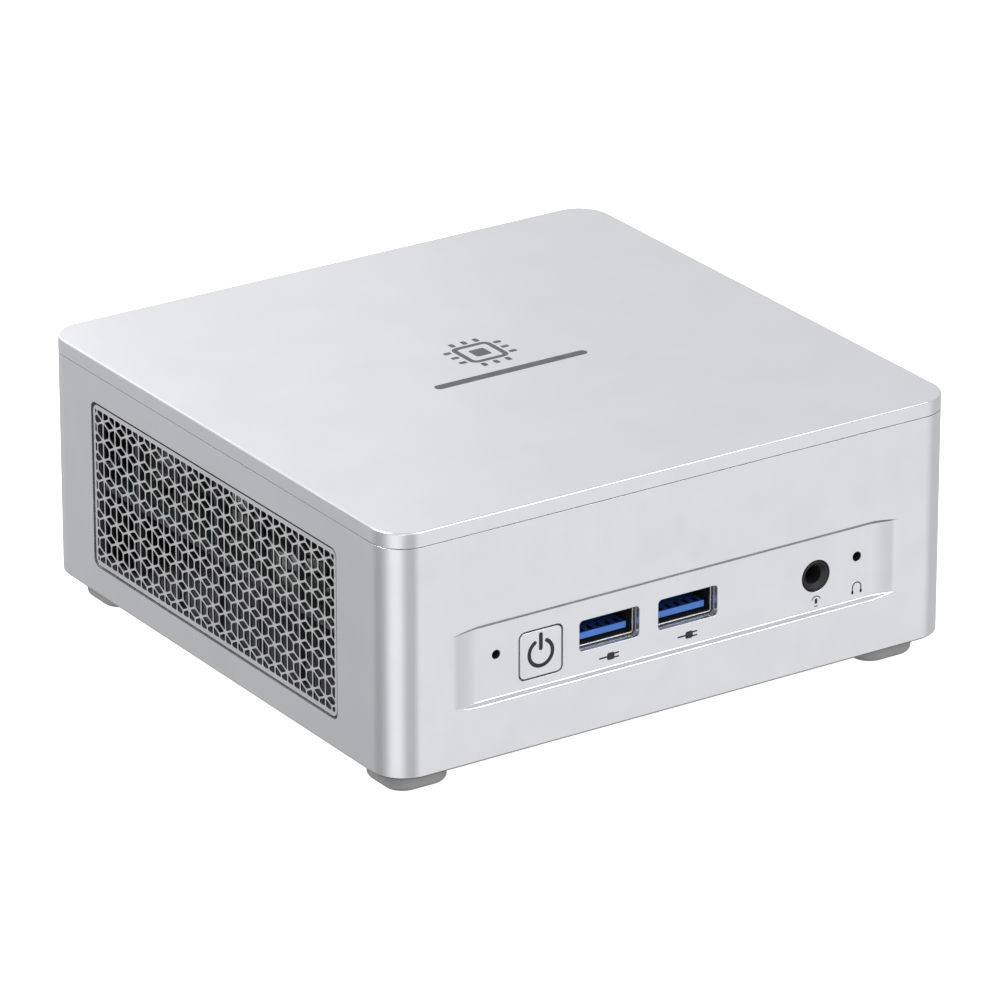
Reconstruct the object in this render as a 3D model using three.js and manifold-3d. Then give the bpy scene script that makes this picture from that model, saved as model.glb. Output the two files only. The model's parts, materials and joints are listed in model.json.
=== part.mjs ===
// Mini PC: a small square desktop computer in a flat, rounded case.
// Millimetres, +Z up. The origin is on the surface that the feet stand on, below the
// middle of the case. The front, with its power button, faces -Y; the sockets of the
// rear panel face +Y; the two vented sides face -X and +X.

import * as THREE from 'three';
import { mergeVertices } from 'three/addons/utils/BufferGeometryUtils.js';
import Module from 'manifold-3d';

const wasm = await Module();
wasm.setup();

// ---------------------------------------------------------------- driving dimensions

const CASE_WIDTH = 130;
const CASE_DEPTH = 126.8;
const CASE_HEIGHT = 50.3;
const CORNER_RADIUS = 7;
const FOOT_HEIGHT = 5;
const LID_EDGE = 3.2;
const SEAM_GAP = 0.3;
const SIDE_WALL = 2.4;
const FRONT_WALL = 3;
const REAR_WALL = 1.8;
const BOTTOM_PLATE = 1.4;
const BOARD_UNDERSIDE = 28;
const BOARD_THICKNESS = 1.6;
const GAP = 0.3;

// How far a cutting tool runs past a face, and how far joined solids run into each other.
const OVERSHOOT = 1;
const OVERLAP = 0.2;

// ---------------------------------------------------------------- worked-out levels

const halfWidth = CASE_WIDTH / 2;
const halfDepth = CASE_DEPTH / 2;
const caseBase = FOOT_HEIGHT;
const caseTop = caseBase + CASE_HEIGHT;
const seam = caseTop - LID_EDGE;
const innerRight = halfWidth - SIDE_WALL;
const innerFront = -halfDepth + FRONT_WALL;
const innerRear = halfDepth - REAR_WALL;
const plateTop = caseBase + BOTTOM_PLATE;
const boardTop = BOARD_UNDERSIDE + BOARD_THICKNESS;
const underBoard = BOARD_UNDERSIDE - GAP;
const onBoard = boardTop + GAP;

// ---------------------------------------------------------------- materials

function finish(color, roughness, metalness) {
  return new THREE.MeshStandardMaterial({ color, roughness, metalness });
}

const silver = finish(0xd6d8dc, 0.38, 0.75);
const ventSilver = finish(0xb4b6ba, 0.42, 0.7);
const rubber = finish(0x8a8c8a, 0.85, 0);
const blackPlastic = finish(0x1c1c1e, 0.55, 0);
const bluePlastic = finish(0x1646c8, 0.45, 0);
const plated = finish(0xb9bbbe, 0.28, 0.9);
const zincSteel = finish(0x9ea2a6, 0.45, 0.85);
const copper = finish(0xb8713f, 0.35, 0.95);
const finMetal = finish(0xc3c5c8, 0.4, 0.85);
const boardGreen = finish(0x12271f, 0.6, 0.1);
const chipBlack = finish(0x202124, 0.5, 0.05);
const screwBlack = finish(0x2a2b2e, 0.4, 0.7);
const leadBlack = finish(0x161617, 0.6, 0);

// ---------------------------------------------------------------- solids

// A closed three.js geometry as a solid that can be joined and cut.
function solidOf(geometry) {
  geometry.deleteAttribute('normal');
  geometry.deleteAttribute('uv');
  const merged = mergeVertices(geometry, 1e-4);
  const corners = merged.index.array;
  const kept = [];
  for (let i = 0; i < corners.length; i += 3) {
    const [a, b, c] = corners.slice(i, i + 3);
    if (a !== b && b !== c && c !== a) kept.push(a, b, c);
  }
  return new wasm.Manifold(new wasm.Mesh({
    numProp: 3,
    vertProperties: new Float32Array(merged.attributes.position.array),
    triVerts: new Uint32Array(kept),
  }));
}

function geometryOf(solid) {
  const mesh = solid.getMesh();
  const geometry = new THREE.BufferGeometry();
  geometry.setAttribute('position', new THREE.BufferAttribute(mesh.vertProperties, 3));
  geometry.setIndex(new THREE.BufferAttribute(mesh.triVerts, 1));
  geometry.computeVertexNormals();
  return geometry;
}

function join(solids) {
  return solids.reduce((whole, solid) => whole.add(solid));
}

function cut(solid, tools) {
  return tools.reduce((rest, tool) => rest.subtract(tool), solid);
}

function box([x0, x1], [y0, y1], [z0, z1]) {
  const geometry = new THREE.BoxGeometry(x1 - x0, y1 - y0, z1 - z0);
  geometry.translate((x0 + x1) / 2, (y0 + y1) / 2, (z0 + z1) / 2);
  return solidOf(geometry);
}

// The directions of an outline's two axes and of its extrusion.
const EXTRUDE_BASIS = {
  x: [new THREE.Vector3(0, 1, 0), new THREE.Vector3(0, 0, 1), new THREE.Vector3(1, 0, 0)],
  y: [new THREE.Vector3(1, 0, 0), new THREE.Vector3(0, 0, 1), new THREE.Vector3(0, -1, 0)],
  z: [new THREE.Vector3(1, 0, 0), new THREE.Vector3(0, 1, 0), new THREE.Vector3(0, 0, 1)],
};

// An outline in the plane across an axis, extruded along it between two levels. Each arc
// of the outline takes twice as many straight steps as curveSegments.
function extrude(shape, axis, [from, to], curveSegments = 1) {
  const geometry = new THREE.ExtrudeGeometry(shape, {
    depth: to - from,
    bevelEnabled: false,
    curveSegments,
  });
  geometry.applyMatrix4(new THREE.Matrix4().makeBasis(...EXTRUDE_BASIS[axis]));
  const start = { x: [from, 0, 0], y: [0, to, 0], z: [0, 0, from] }[axis];
  geometry.translate(...start);
  return solidOf(geometry);
}

function roundedRect(centreA, centreB, width, height, radius) {
  const right = centreA + width / 2 - radius;
  const left = centreA - width / 2 + radius;
  const upper = centreB + height / 2 - radius;
  const lower = centreB - height / 2 + radius;
  const shape = new THREE.Shape();
  shape.absarc(right, upper, radius, 0, Math.PI / 2);
  shape.absarc(left, upper, radius, Math.PI / 2, Math.PI);
  shape.absarc(left, lower, radius, Math.PI, Math.PI * 1.5);
  shape.absarc(right, lower, radius, Math.PI * 1.5, Math.PI * 2);
  shape.closePath();
  return shape;
}

function circle(centreA, centreB, radius) {
  const shape = new THREE.Shape();
  shape.absarc(centreA, centreB, radius, 0, Math.PI * 2);
  return shape;
}

// A slot with half-round ends. Its end arcs stay a hair apart, so that no side has zero length.
function slotShape(centreA, centreB, width, height) {
  const HAIR = 0.01;
  return roundedRect(centreA, centreB, width, height, Math.min(width, height) / 2 - HAIR);
}

function polygon(points) {
  return new THREE.Shape(points.map(([a, b]) => new THREE.Vector2(a, b)));
}

// A plate with teeth on one side: the outline is drawn along the row and down the teeth.
function comb(start, pitch, thickness, count, back, root, tip) {
  const points = [[start, back]];
  for (let i = 0; i < count; i += 1) {
    const edge = start + i * pitch;
    points.push([edge, tip], [edge + thickness, tip]);
    if (i < count - 1) points.push([edge + thickness, root], [edge + pitch, root]);
  }
  points.push([start + (count - 1) * pitch + thickness, back]);
  return polygon(points);
}

const computer = new THREE.Group();

function place(name, solid, material, position = [0, 0, 0]) {
  const mesh = new THREE.Mesh(geometryOf(solid), material);
  mesh.name = name;
  mesh.position.set(...position);
  computer.add(mesh);
  return mesh;
}

// ---------------------------------------------------------------- front panel

// The sockets and the button sit on the floor of a shallow recess in the front wall.
const RECESS = {
  depth: 1,
  halfLength: 51,
  halfFloor: 45.6,
  ease: 2,
  bottom: 17,
  top: 32.2,
};
const recessFace = -halfDepth + RECESS.depth;

const FRONT_USB = [
  { name: 'usb_front_left', x: -15.29, z: 24.77 },
  { name: 'usb_front_right', x: 2.85, z: 24.77 },
];
const BUTTON = { x: -30.96, z: 23.73, size: 9.6, radius: 1.1 };
const JACK = { x: 32.96, z: 24.2, holeRadius: 3.2 };
const MICROPHONE_HOLE = { x: -41.1, z: 25.8, radius: 0.9 };
const RESET_HOLE = { x: 42.7, z: 26, radius: 0.95 };
const USB_OPENING = { width: 13.65, height: 6.23, radius: 0.8 };

// How far the sockets' mouths lie behind the recess floor.
const USB_SETBACK = 1.6;
const JACK_SETBACK = 0.1;

function frontRecess() {
  const outside = -halfDepth - OVERSHOOT;
  const shape = new THREE.Shape();
  shape.moveTo(-RECESS.halfLength, outside);
  shape.lineTo(RECESS.halfLength, outside);
  shape.lineTo(RECESS.halfLength, -halfDepth);
  shape.quadraticCurveTo(RECESS.halfFloor + RECESS.ease, recessFace, RECESS.halfFloor, recessFace);
  shape.lineTo(-RECESS.halfFloor, recessFace);
  shape.quadraticCurveTo(-RECESS.halfFloor - RECESS.ease, recessFace, -RECESS.halfLength, -halfDepth);
  shape.closePath();
  return extrude(shape, 'z', [RECESS.bottom, RECESS.top], 3);
}

function frontCutOuts() {
  const through = [-halfDepth - OVERSHOOT, innerFront + OVERSHOOT];
  const buttonHole = BUTTON.size + 2 * GAP;
  const { width, height, radius } = USB_OPENING;
  return [
    ...FRONT_USB.map(({ x, z }) => extrude(roundedRect(x, z, width, height, radius), 'y', through)),
    extrude(roundedRect(BUTTON.x, BUTTON.z, buttonHole, buttonHole, BUTTON.radius + GAP), 'y', through),
    extrude(circle(JACK.x, JACK.z, JACK.holeRadius), 'y', through, 8),
    extrude(circle(MICROPHONE_HOLE.x, MICROPHONE_HOLE.z, MICROPHONE_HOLE.radius), 'y', through, 4),
    extrude(circle(RESET_HOLE.x, RESET_HOLE.z, RESET_HOLE.radius), 'y', through, 4),
  ];
}

// ---------------------------------------------------------------- side vents

// Each side wall has a pocket for its grille, with ribs of the wall left behind it.
const VENT = { y: 0.85, z: 28.65, width: 90.1, height: 35.3, radius: 1.2 };
const VENT_POCKET_DEPTH = 1.15;
const VENT_BORDER = 1.6;
const VENT_RIB = { width: 1.8, pitch: 14.8, count: 5 };
const GRILLE_THICKNESS = 0.6;

function around(middle, width) {
  return [middle - width / 2, middle + width / 2];
}

// Uprights and one level bar, between two planes across the wall.
function ventRibs(across) {
  const { width, pitch, count } = VENT_RIB;
  const uprights = Array.from({ length: count }, (_, i) => {
    const y = VENT.y + (i - (count - 1) / 2) * pitch;
    return box(across, around(y, width), around(VENT.z, VENT.height));
  });
  return join([...uprights, box(across, around(VENT.y, VENT.width), around(VENT.z, width))]);
}

// The pocket and the windows of one side; side is -1 on the left and 1 on the right.
function ventCutOuts(side) {
  const across = (a, b) => [Math.min(side * a, side * b), Math.max(side * a, side * b)];
  const floor = halfWidth - VENT_POCKET_DEPTH;
  const outline = roundedRect(VENT.y, VENT.z, VENT.width, VENT.height, VENT.radius);
  const pocket = extrude(outline, 'x', across(floor, halfWidth + OVERSHOOT));
  const passage = box(
    across(innerRight - OVERSHOOT, floor + OVERSHOOT / 2),
    around(VENT.y, VENT.width - 2 * VENT_BORDER),
    around(VENT.z, VENT.height - 2 * VENT_BORDER));
  return pocket.add(passage.subtract(ventRibs(across(innerRight - 2 * OVERSHOOT, floor + OVERSHOOT))));
}

// A thin plate with rows of six-sided holes, staggered from row to row.
function grille() {
  const width = VENT.width - 2 * GAP;
  const height = VENT.height - 2 * GAP;
  const hole = { radius: 3.7, pitchY: 9.4, pitchZ: 8, rows: 4, columns: 9 };
  const plate = roundedRect(0, 0, width, height, VENT.radius - GAP);
  for (let row = 0; row < hole.rows; row += 1) {
    const shift = row % 2 ? hole.pitchY / 4 : -hole.pitchY / 4;
    for (let column = 0; column < hole.columns; column += 1) {
      const y = (column - (hole.columns - 1) / 2) * hole.pitchY + shift;
      const z = (row - (hole.rows - 1) / 2) * hole.pitchZ;
      const corners = Array.from({ length: 6 }, (_, i) => {
        const angle = Math.PI / 6 + i * Math.PI / 3;
        return new THREE.Vector2(y + hole.radius * Math.cos(angle), z + hole.radius * Math.sin(angle));
      });
      plate.holes.push(new THREE.Path(corners));
    }
  }
  return extrude(plate, 'x', around(0, GRILLE_THICKNESS));
}

// ---------------------------------------------------------------- rear panel

const REAR_PLATE = { halfWidth: 57.5, bottom: 12.4, top: 31.1, thickness: 1, holeRadius: 0.6 };
const REAR_OPENING = { x: 0, z: 21.2, width: 110, height: 15.6, radius: 1.5 };
const REAR_SLOTS = { count: 15, pitch: 5.6, width: 3, bottom: 34.5, top: 46.5 };
const SOCKET_FACE = halfDepth - 0.5;

// Each rear socket: its middle, and the size of its cut-out in the rear plate.
const REAR_SOCKETS = {
  dc_inlet: { x: 48.5, z: 22.2, width: 9.6, height: 11 },
  usb_c_port: { x: 37.5, z: 25.8, width: 9.6, height: 3.8 },
  hdmi_port_left: { x: 23.5, z: 24.7, width: 15.6, height: 6.4 },
  hdmi_port_right: { x: 6, z: 24.7, width: 15.6, height: 6.4 },
  ethernet_port: { x: -12.5, z: 20.9, width: 16.6, height: 14 },
  usb_rear_left: { x: -30, z: 24.77, width: 13.7, height: 6.3 },
  usb_rear_right: { x: -46.5, z: 24.77, width: 13.7, height: 6.3 },
};

function rearCutOuts() {
  const through = [innerRear - OVERSHOOT, halfDepth + OVERSHOOT];
  const { x, z, width, height, radius } = REAR_OPENING;
  const slots = Array.from({ length: REAR_SLOTS.count }, (_, i) => {
    const middle = (i - (REAR_SLOTS.count - 1) / 2) * REAR_SLOTS.pitch;
    const { bottom, top, width: slot } = REAR_SLOTS;
    return extrude(slotShape(middle, (bottom + top) / 2, slot, top - bottom), 'y', through);
  });
  return [extrude(roundedRect(x, z, width, height, radius), 'y', through), ...slots];
}

function rearPlate() {
  const { halfWidth: half, bottom, top, thickness, holeRadius } = REAR_PLATE;
  const rear = innerRear - GAP;
  const plate = box([-half, half], [rear - thickness, rear], [bottom, top]);
  const through = [rear - thickness - OVERSHOOT, rear + OVERSHOOT];
  const holes = Object.values(REAR_SOCKETS).map(({ x, z, width, height }) =>
    extrude(roundedRect(x, z, width, height, holeRadius), 'y', through));
  return cut(plate, holes);
}

// ---------------------------------------------------------------- shell, lid and base

const BOARD_POST = { x: 58.8, y: 50.5, radius: 4.2, bottom: 15, boreDepth: 6 };
const CASE_POST = { x: 42, inset: 3.9, radius: 4.1, top: 11.8, boreEnd: 10.8 };
const SCREW_HOLE = 1.5;

const corners = [[-1, -1], [1, -1], [-1, 1], [1, 1]];
const boardPosts = corners.map(([sx, sy]) => [sx * BOARD_POST.x, sy * BOARD_POST.y]);
const casePosts = corners.map(([sx, sy]) => [
  sx * CASE_POST.x,
  sy < 0 ? innerFront + CASE_POST.inset : innerRear - CASE_POST.inset,
]);

function innerOutline(offset) {
  return roundedRect(
    0, (innerFront + innerRear) / 2,
    2 * (innerRight - offset), innerRear - innerFront - 2 * offset,
    CORNER_RADIUS - SIDE_WALL - offset / 2);
}

function mainShell() {
  const outer = extrude(
    roundedRect(0, 0, CASE_WIDTH, CASE_DEPTH, CORNER_RADIUS), 'z', [caseBase, seam - SEAM_GAP / 2], 4);
  const hollow = extrude(innerOutline(0), 'z', [caseBase - OVERSHOOT, seam + OVERSHOOT], 2);
  const posts = [
    ...boardPosts.map(([x, y]) =>
      extrude(circle(x, y, BOARD_POST.radius), 'z', [BOARD_POST.bottom, underBoard], 6)),
    ...casePosts.map(([x, y]) =>
      extrude(circle(x, y, CASE_POST.radius), 'z', [plateTop + GAP, CASE_POST.top], 6)),
  ];
  const bores = [...boardPosts, ...casePosts].map(([x, y], i) => {
    const span = i < boardPosts.length
      ? [underBoard - BOARD_POST.boreDepth, underBoard + OVERSHOOT]
      : [plateTop, CASE_POST.boreEnd];
    return extrude(circle(x, y, SCREW_HOLE), 'z', span, 4);
  });
  const shell = outer.subtract(hollow).add(join(posts).intersect(outer));
  return cut(shell, [
    ...bores,
    frontRecess(),
    ...frontCutOuts(),
    ventCutOuts(-1),
    ventCutOuts(1),
    ...rearCutOuts(),
  ]);
}

// A shallow pan with a skirt that drops inside the shell.
function topLid() {
  const TOP_PLATE = 1.6;
  const RIM = 3.4;
  const SKIRT_DROP = 1.3;
  const SKIRT_WALL = 1.2;
  const underside = seam + SEAM_GAP / 2;
  const slab = extrude(
    roundedRect(0, 0, CASE_WIDTH, CASE_DEPTH, CORNER_RADIUS), 'z', [underside, caseTop], 4);
  const skirt = extrude(innerOutline(GAP), 'z', [underside - SKIRT_DROP, underside + OVERLAP], 2);
  const pan = extrude(
    innerOutline(GAP + SKIRT_WALL), 'z', [underside - SKIRT_DROP - OVERSHOOT, caseTop - TOP_PLATE], 2);
  const rim = extrude(
    roundedRect(0, 0, CASE_WIDTH - 2 * RIM, CASE_DEPTH - 2 * RIM, CORNER_RADIUS - RIM), 'z',
    [underside - SKIRT_DROP - OVERSHOOT, caseTop + OVERSHOOT], 2);
  return slab.add(skirt).subtract(pan.intersect(rim));
}

// The base plate closes the shell from below, with intake slots under the blower.
const BLOWER = { x: 6, y: 0 };

function bottomCover() {
  const INTAKE = { radius: 27, pitch: 4.8, width: 2.6, count: 11 };
  const HEAD_RADIUS = 3;
  const HEAD_DEPTH = 0.9;
  const plate = extrude(innerOutline(GAP), 'z', [caseBase, plateTop], 2);
  const through = [caseBase - OVERSHOOT, plateTop + OVERSHOOT];
  const slots = Array.from({ length: INTAKE.count }, (_, i) => {
    const y = (i - (INTAKE.count - 1) / 2) * INTAKE.pitch;
    const chord = 2 * Math.sqrt(INTAKE.radius ** 2 - y ** 2);
    return extrude(slotShape(BLOWER.x, BLOWER.y + y, chord, INTAKE.width), 'z', through);
  });
  const seats = casePosts.flatMap(([x, y]) => [
    extrude(circle(x, y, SCREW_HOLE), 'z', through, 4),
    extrude(circle(x, y, HEAD_RADIUS), 'z', [caseBase - OVERSHOOT, caseBase + HEAD_DEPTH], 5),
  ]);
  return cut(plate, [...slots, ...seats]);
}

// A round-cornered rubber foot with its lower edge rolled in.
const FOOT = { size: 13.4, radius: 4.3, edge: 1.2, x: 54.5, y: 51.9 };

function foot() {
  const STEPS = 2;
  const top = FOOT_HEIGHT - GAP;
  const outline = (inset) =>
    roundedRect(0, 0, FOOT.size - 2 * inset, FOOT.size - 2 * inset, FOOT.radius - inset);
  const layers = [extrude(outline(0), 'z', [FOOT.edge, top], 2)];
  for (let i = 0; i < STEPS; i += 1) {
    const angle = (i / STEPS) * Math.PI / 2;
    const inset = FOOT.edge * (1 - Math.sin(angle + Math.PI / 2 / STEPS));
    const from = FOOT.edge * (1 - Math.cos(angle));
    layers.push(extrude(outline(inset), 'z', [from, FOOT.edge + OVERLAP], 2));
  }
  return join(layers);
}

const CASE_SCREW = { headRadius: 2.6, headHeight: 0.6, length: 5.2, sunk: 0.1 };
const BOARD_SCREW = { headRadius: 2.7, headHeight: 1.2, length: 6.6 };

// A screw standing on its head: the head below, the shank above.
function screw({ headRadius, headHeight, length }) {
  const SHANK_RADIUS = 1.15;
  const DRIVE = { width: 0.7, length: 3, depth: 0.5 };
  const head = extrude(circle(0, 0, headRadius), 'z', [0, headHeight], 5);
  const shank = extrude(circle(0, 0, SHANK_RADIUS), 'z', [headHeight - OVERLAP, length], 3);
  const across = [-DRIVE.length / 2, DRIVE.length / 2];
  const wide = [-DRIVE.width / 2, DRIVE.width / 2];
  const level = [-OVERSHOOT, DRIVE.depth];
  return cut(head.add(shank), [box(across, wide, level), box(wide, across, level)]);
}

// ---------------------------------------------------------------- sockets

// Every socket is built with its mouth at y = 0 facing -Y and its body behind it.
const USB = { width: 13.1, height: 5.72, sheet: 0.3, depth: 14, radius: 0.6 };

function usbShell() {
  const outer = roundedRect(0, 0, USB.width, USB.height, USB.radius);
  const inner = roundedRect(0, 0, USB.width - 2 * USB.sheet, USB.height - 2 * USB.sheet, USB.radius / 2);
  const cavity = extrude(inner, 'y', [-OVERSHOOT, USB.depth - USB.sheet]);
  return extrude(outer, 'y', [0, USB.depth]).subtract(cavity);
}

// The contact tongue lies in the lower half of the opening, on a block at the back.
function usbTongue(backGap) {
  const TONGUE = { halfWidth: 5.55, bottom: -1.88, top: -0.15, mouth: 0.9 };
  const block = { halfWidth: 5.9, halfHeight: 2.2, front: 11.2 };
  const back = USB.depth - USB.sheet - backGap;
  const { halfWidth: half, mouth, bottom, top } = TONGUE;
  return join([
    box([-block.halfWidth, block.halfWidth], [block.front, back], [-block.halfHeight, block.halfHeight]),
    box([-half, half], [mouth, block.front + OVERLAP], [bottom, top]),
  ]);
}

// On the rear sockets the tongue and its shell are one piece.
function rearUsb() {
  return usbShell().add(usbTongue(-OVERLAP / 2));
}

function audioJack() {
  const BARREL = { radius: 3, length: 2.3 };
  const BODY = { halfWidth: 5.6, length: 14.2, bottom: -3.3, top: 3.4 };
  const BORE = { radius: 1.8, depth: 13 };
  const barrel = extrude(circle(0, 0, BARREL.radius), 'y', [0, BARREL.length + OVERLAP], 8);
  const body = box([-BODY.halfWidth, BODY.halfWidth], [BARREL.length, BODY.length], [BODY.bottom, BODY.top]);
  return barrel.add(body).subtract(extrude(circle(0, 0, BORE.radius), 'y', [-OVERSHOOT, BORE.depth], 6));
}

function dcInlet() {
  const BODY = { halfWidth: 4.5, height: 10.6, depth: 13 };
  const BORE = { radius: 3.15, depth: 10 };
  const PIN = { radius: 1.25, mouth: 1.5 };
  const body = box([-BODY.halfWidth, BODY.halfWidth], [0, BODY.depth], [-BODY.height / 2, BODY.height / 2]);
  const bore = extrude(circle(0, 0, BORE.radius), 'y', [-OVERSHOOT, BORE.depth], 8);
  const pin = extrude(circle(0, 0, PIN.radius), 'y', [PIN.mouth, BORE.depth + OVERLAP], 5);
  return body.subtract(bore).add(pin);
}

function hdmiPort() {
  const HALF = { width: 7.4, step: 5.6 };
  const LEVEL = { top: 2.9, shoulder: -1, bottom: -2.9 };
  const DEPTH = 11;
  const SHEET = 0.4;
  const CAVITY_DEPTH = 10;
  const BLADE = { halfWidth: 5.6, mouth: 0.8, bottom: -0.2, top: 1.2 };
  const outline = (inset) => polygon([
    [-HALF.width + inset, LEVEL.top - inset],
    [-HALF.width + inset, LEVEL.shoulder + inset / 2],
    [-HALF.step + inset / 2, LEVEL.bottom + inset],
    [HALF.step - inset / 2, LEVEL.bottom + inset],
    [HALF.width - inset, LEVEL.shoulder + inset / 2],
    [HALF.width - inset, LEVEL.top - inset],
  ]);
  const cavity = extrude(outline(SHEET), 'y', [-OVERSHOOT, CAVITY_DEPTH]);
  const depth = [BLADE.mouth, CAVITY_DEPTH + OVERLAP];
  const blade = box([-BLADE.halfWidth, BLADE.halfWidth], depth, [BLADE.bottom, BLADE.top]);
  return extrude(outline(0), 'y', [0, DEPTH]).subtract(cavity).add(blade);
}

function usbCPort() {
  const SHELL = { width: 8.94, height: 3.16, radius: 1.57, depth: 8.5, sheet: 0.3, back: 0.6 };
  const BLADE = { halfWidth: 3.35, halfHeight: 0.35, mouth: 0.8 };
  const outline = (inset) => roundedRect(
    0, 0, SHELL.width - 2 * inset, SHELL.height - 2 * inset, SHELL.radius - inset);
  const end = SHELL.depth - SHELL.back;
  const cavity = extrude(outline(SHELL.sheet), 'y', [-OVERSHOOT, end], 2);
  const blade = box(
    [-BLADE.halfWidth, BLADE.halfWidth], [BLADE.mouth, end + OVERLAP], [-BLADE.halfHeight, BLADE.halfHeight]);
  return extrude(outline(0), 'y', [0, SHELL.depth], 2).subtract(cavity).add(blade);
}

// The network socket hangs upside down, so its latch slot is at the bottom.
function ethernetPort() {
  const BODY = { halfWidth: 8, halfHeight: 6.7, depth: 21 };
  const MOUTH = { halfWidth: 5.9, bottom: -3.2, top: 5.2, depth: 13.5 };
  const LATCH = { halfWidth: 3, bottom: -4.6 };
  const KEY = { halfWidth: 1.6, bottom: -5.8 };
  const SLOT_DEPTH = 9.5;
  const body = box([-BODY.halfWidth, BODY.halfWidth], [0, BODY.depth], [-BODY.halfHeight, BODY.halfHeight]);
  const slots = [[LATCH, MOUTH.bottom], [KEY, LATCH.bottom]].map(([{ halfWidth: half, bottom }, top]) =>
    box([-half, half], [-OVERSHOOT, SLOT_DEPTH], [bottom, top + OVERLAP]));
  const mouth = box(
    [-MOUTH.halfWidth, MOUTH.halfWidth], [-OVERSHOOT, MOUTH.depth], [MOUTH.bottom, MOUTH.top]);
  return cut(body, [mouth, ...slots]);
}

// ---------------------------------------------------------------- power button

// The cap is flush with the recess floor; a flange behind the wall keeps it in.
function powerButton() {
  const FLANGE = { size: 11.4, from: 2.3, to: 3.1 };
  const STEM = { radius: 1.6, end: 3.9 };
  const outline = roundedRect(0, 0, BUTTON.size, BUTTON.size, BUTTON.radius);
  const cap = extrude(outline, 'y', [0, FLANGE.from + OVERLAP], 2);
  const flange = extrude(
    roundedRect(0, 0, FLANGE.size, FLANGE.size, BUTTON.radius), 'y', [FLANGE.from, FLANGE.to]);
  const stem = extrude(circle(0, 0, STEM.radius), 'y', [FLANGE.to - OVERLAP, STEM.end], 4);
  return join([cap, flange, stem]);
}

function powerSwitch() {
  const PLUNGER = { radius: 1.2, front: 4.7 };
  const BODY = { half: 3, front: 5.4, rear: 8.9 };
  const plunger = extrude(circle(0, 0, PLUNGER.radius), 'y', [PLUNGER.front, BODY.front + OVERLAP], 4);
  const body = box([-BODY.half, BODY.half], [BODY.front, BODY.rear], [-BODY.half, underBoard - BUTTON.z]);
  return plunger.add(body);
}

// ---------------------------------------------------------------- mainboard

const BOARD = { halfWidth: 61.5, front: -58.4, rear: 58.6 };

const CHOKES = { left: -52, front: -2, size: 5, pitch: 7, height: 3.2, count: 6 };
const CAPACITORS = { left: 30, y: -9, radius: 2.5, pitch: 6.4, height: 5.5, count: 5 };
const CHIPSET = { x: [34, 46], y: [46, 56], height: 1.2 };

function mainboard() {
  const NOTCH = 7;
  const { halfWidth: half, front, rear } = BOARD;
  const outline = polygon([
    [-half + NOTCH, front], [half - NOTCH, front], [half, front + NOTCH], [half, rear - NOTCH],
    [half - NOTCH, rear], [-half + NOTCH, rear], [-half, rear - NOTCH], [-half, front + NOTCH],
  ]);
  const through = [BOARD_UNDERSIDE - OVERSHOOT, boardTop + OVERSHOOT];
  const holes = boardPosts.map(([x, y]) => extrude(circle(x, y, SCREW_HOLE), 'z', through, 4));
  const chokes = Array.from({ length: CHOKES.count }, (_, i) => {
    const y = CHOKES.front + i * CHOKES.pitch;
    const level = [BOARD_UNDERSIDE - CHOKES.height, BOARD_UNDERSIDE + OVERLAP];
    return box([CHOKES.left, CHOKES.left + CHOKES.size], [y, y + CHOKES.size], level);
  });
  const capacitors = Array.from({ length: CAPACITORS.count }, (_, i) => {
    const shape = circle(CAPACITORS.left + i * CAPACITORS.pitch, CAPACITORS.y, CAPACITORS.radius);
    return extrude(shape, 'z', [boardTop - OVERLAP, boardTop + CAPACITORS.height], 4);
  });
  const chipset = box(CHIPSET.x, CHIPSET.y, [boardTop - OVERLAP, boardTop + CHIPSET.height]);
  const sheet = cut(extrude(outline, 'z', [BOARD_UNDERSIDE, boardTop]), holes);
  return join([sheet, ...chokes, ...capacitors, chipset]);
}

// ---------------------------------------------------------------- processor cooler

const COOLER = { plateBottom: 23.2, plateTop: 25.7, pipeBottom: 20.1, pipeTop: 22.9 };
const COLD_PLATE = { left: -8, right: 36, halfDepth: 19 };
const PIPE = { start: -10, y: 5.2, width: 8, runX: 50.5, bend: 12, end: 26 };
const FINS = { from: 43.8, to: 57.8, halfWidth: 27.6, pitch: 2.2, thickness: 0.5, count: 26, base: 0.8 };
const BLOWER_SHAPE = { radius: 29, outlet: 43.4, wall: 1.2, bottom: 8.6, top: 19.8, cap: 0.8 };
const PROCESSOR = { x: 14, y: 0, halfWidth: 12.5, halfDepth: 17.5, thickness: 1 };
const DIE = { halfWidth: 5.5, halfDepth: 9, height: 0.7 };

function processor() {
  const { halfWidth, halfDepth: half, thickness } = PROCESSOR;
  const substrate = box([-halfWidth, halfWidth], [-half, half], [-thickness, 0]);
  const level = [-thickness - DIE.height, -thickness + OVERLAP];
  return substrate.add(box([-DIE.halfWidth, DIE.halfWidth], [-DIE.halfDepth, DIE.halfDepth], level));
}

function coldPlate() {
  const { left, right, halfDepth: half } = COLD_PLATE;
  return box([left, right], [-half, half], [COOLER.plateBottom, COOLER.plateTop]);
}

// A flattened pipe: straight over the processor, then turned along the fin stack.
function heatPipe() {
  const { start, y, width, runX, bend, end } = PIPE;
  const half = width / 2;
  const shape = new THREE.Shape();
  shape.moveTo(start, y - half);
  shape.lineTo(runX - bend, y - half);
  shape.absarc(runX - bend, y + bend, bend + half, -Math.PI / 2, 0, false);
  shape.lineTo(runX + half, end);
  shape.lineTo(runX - half, end);
  shape.absarc(runX - bend, y + bend, bend - half, 0, -Math.PI / 2, true);
  shape.lineTo(start, y + half);
  shape.closePath();
  const thickness = COOLER.pipeTop - COOLER.pipeBottom;
  return extrude(shape, 'z', around(0, thickness), 3);
}

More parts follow.
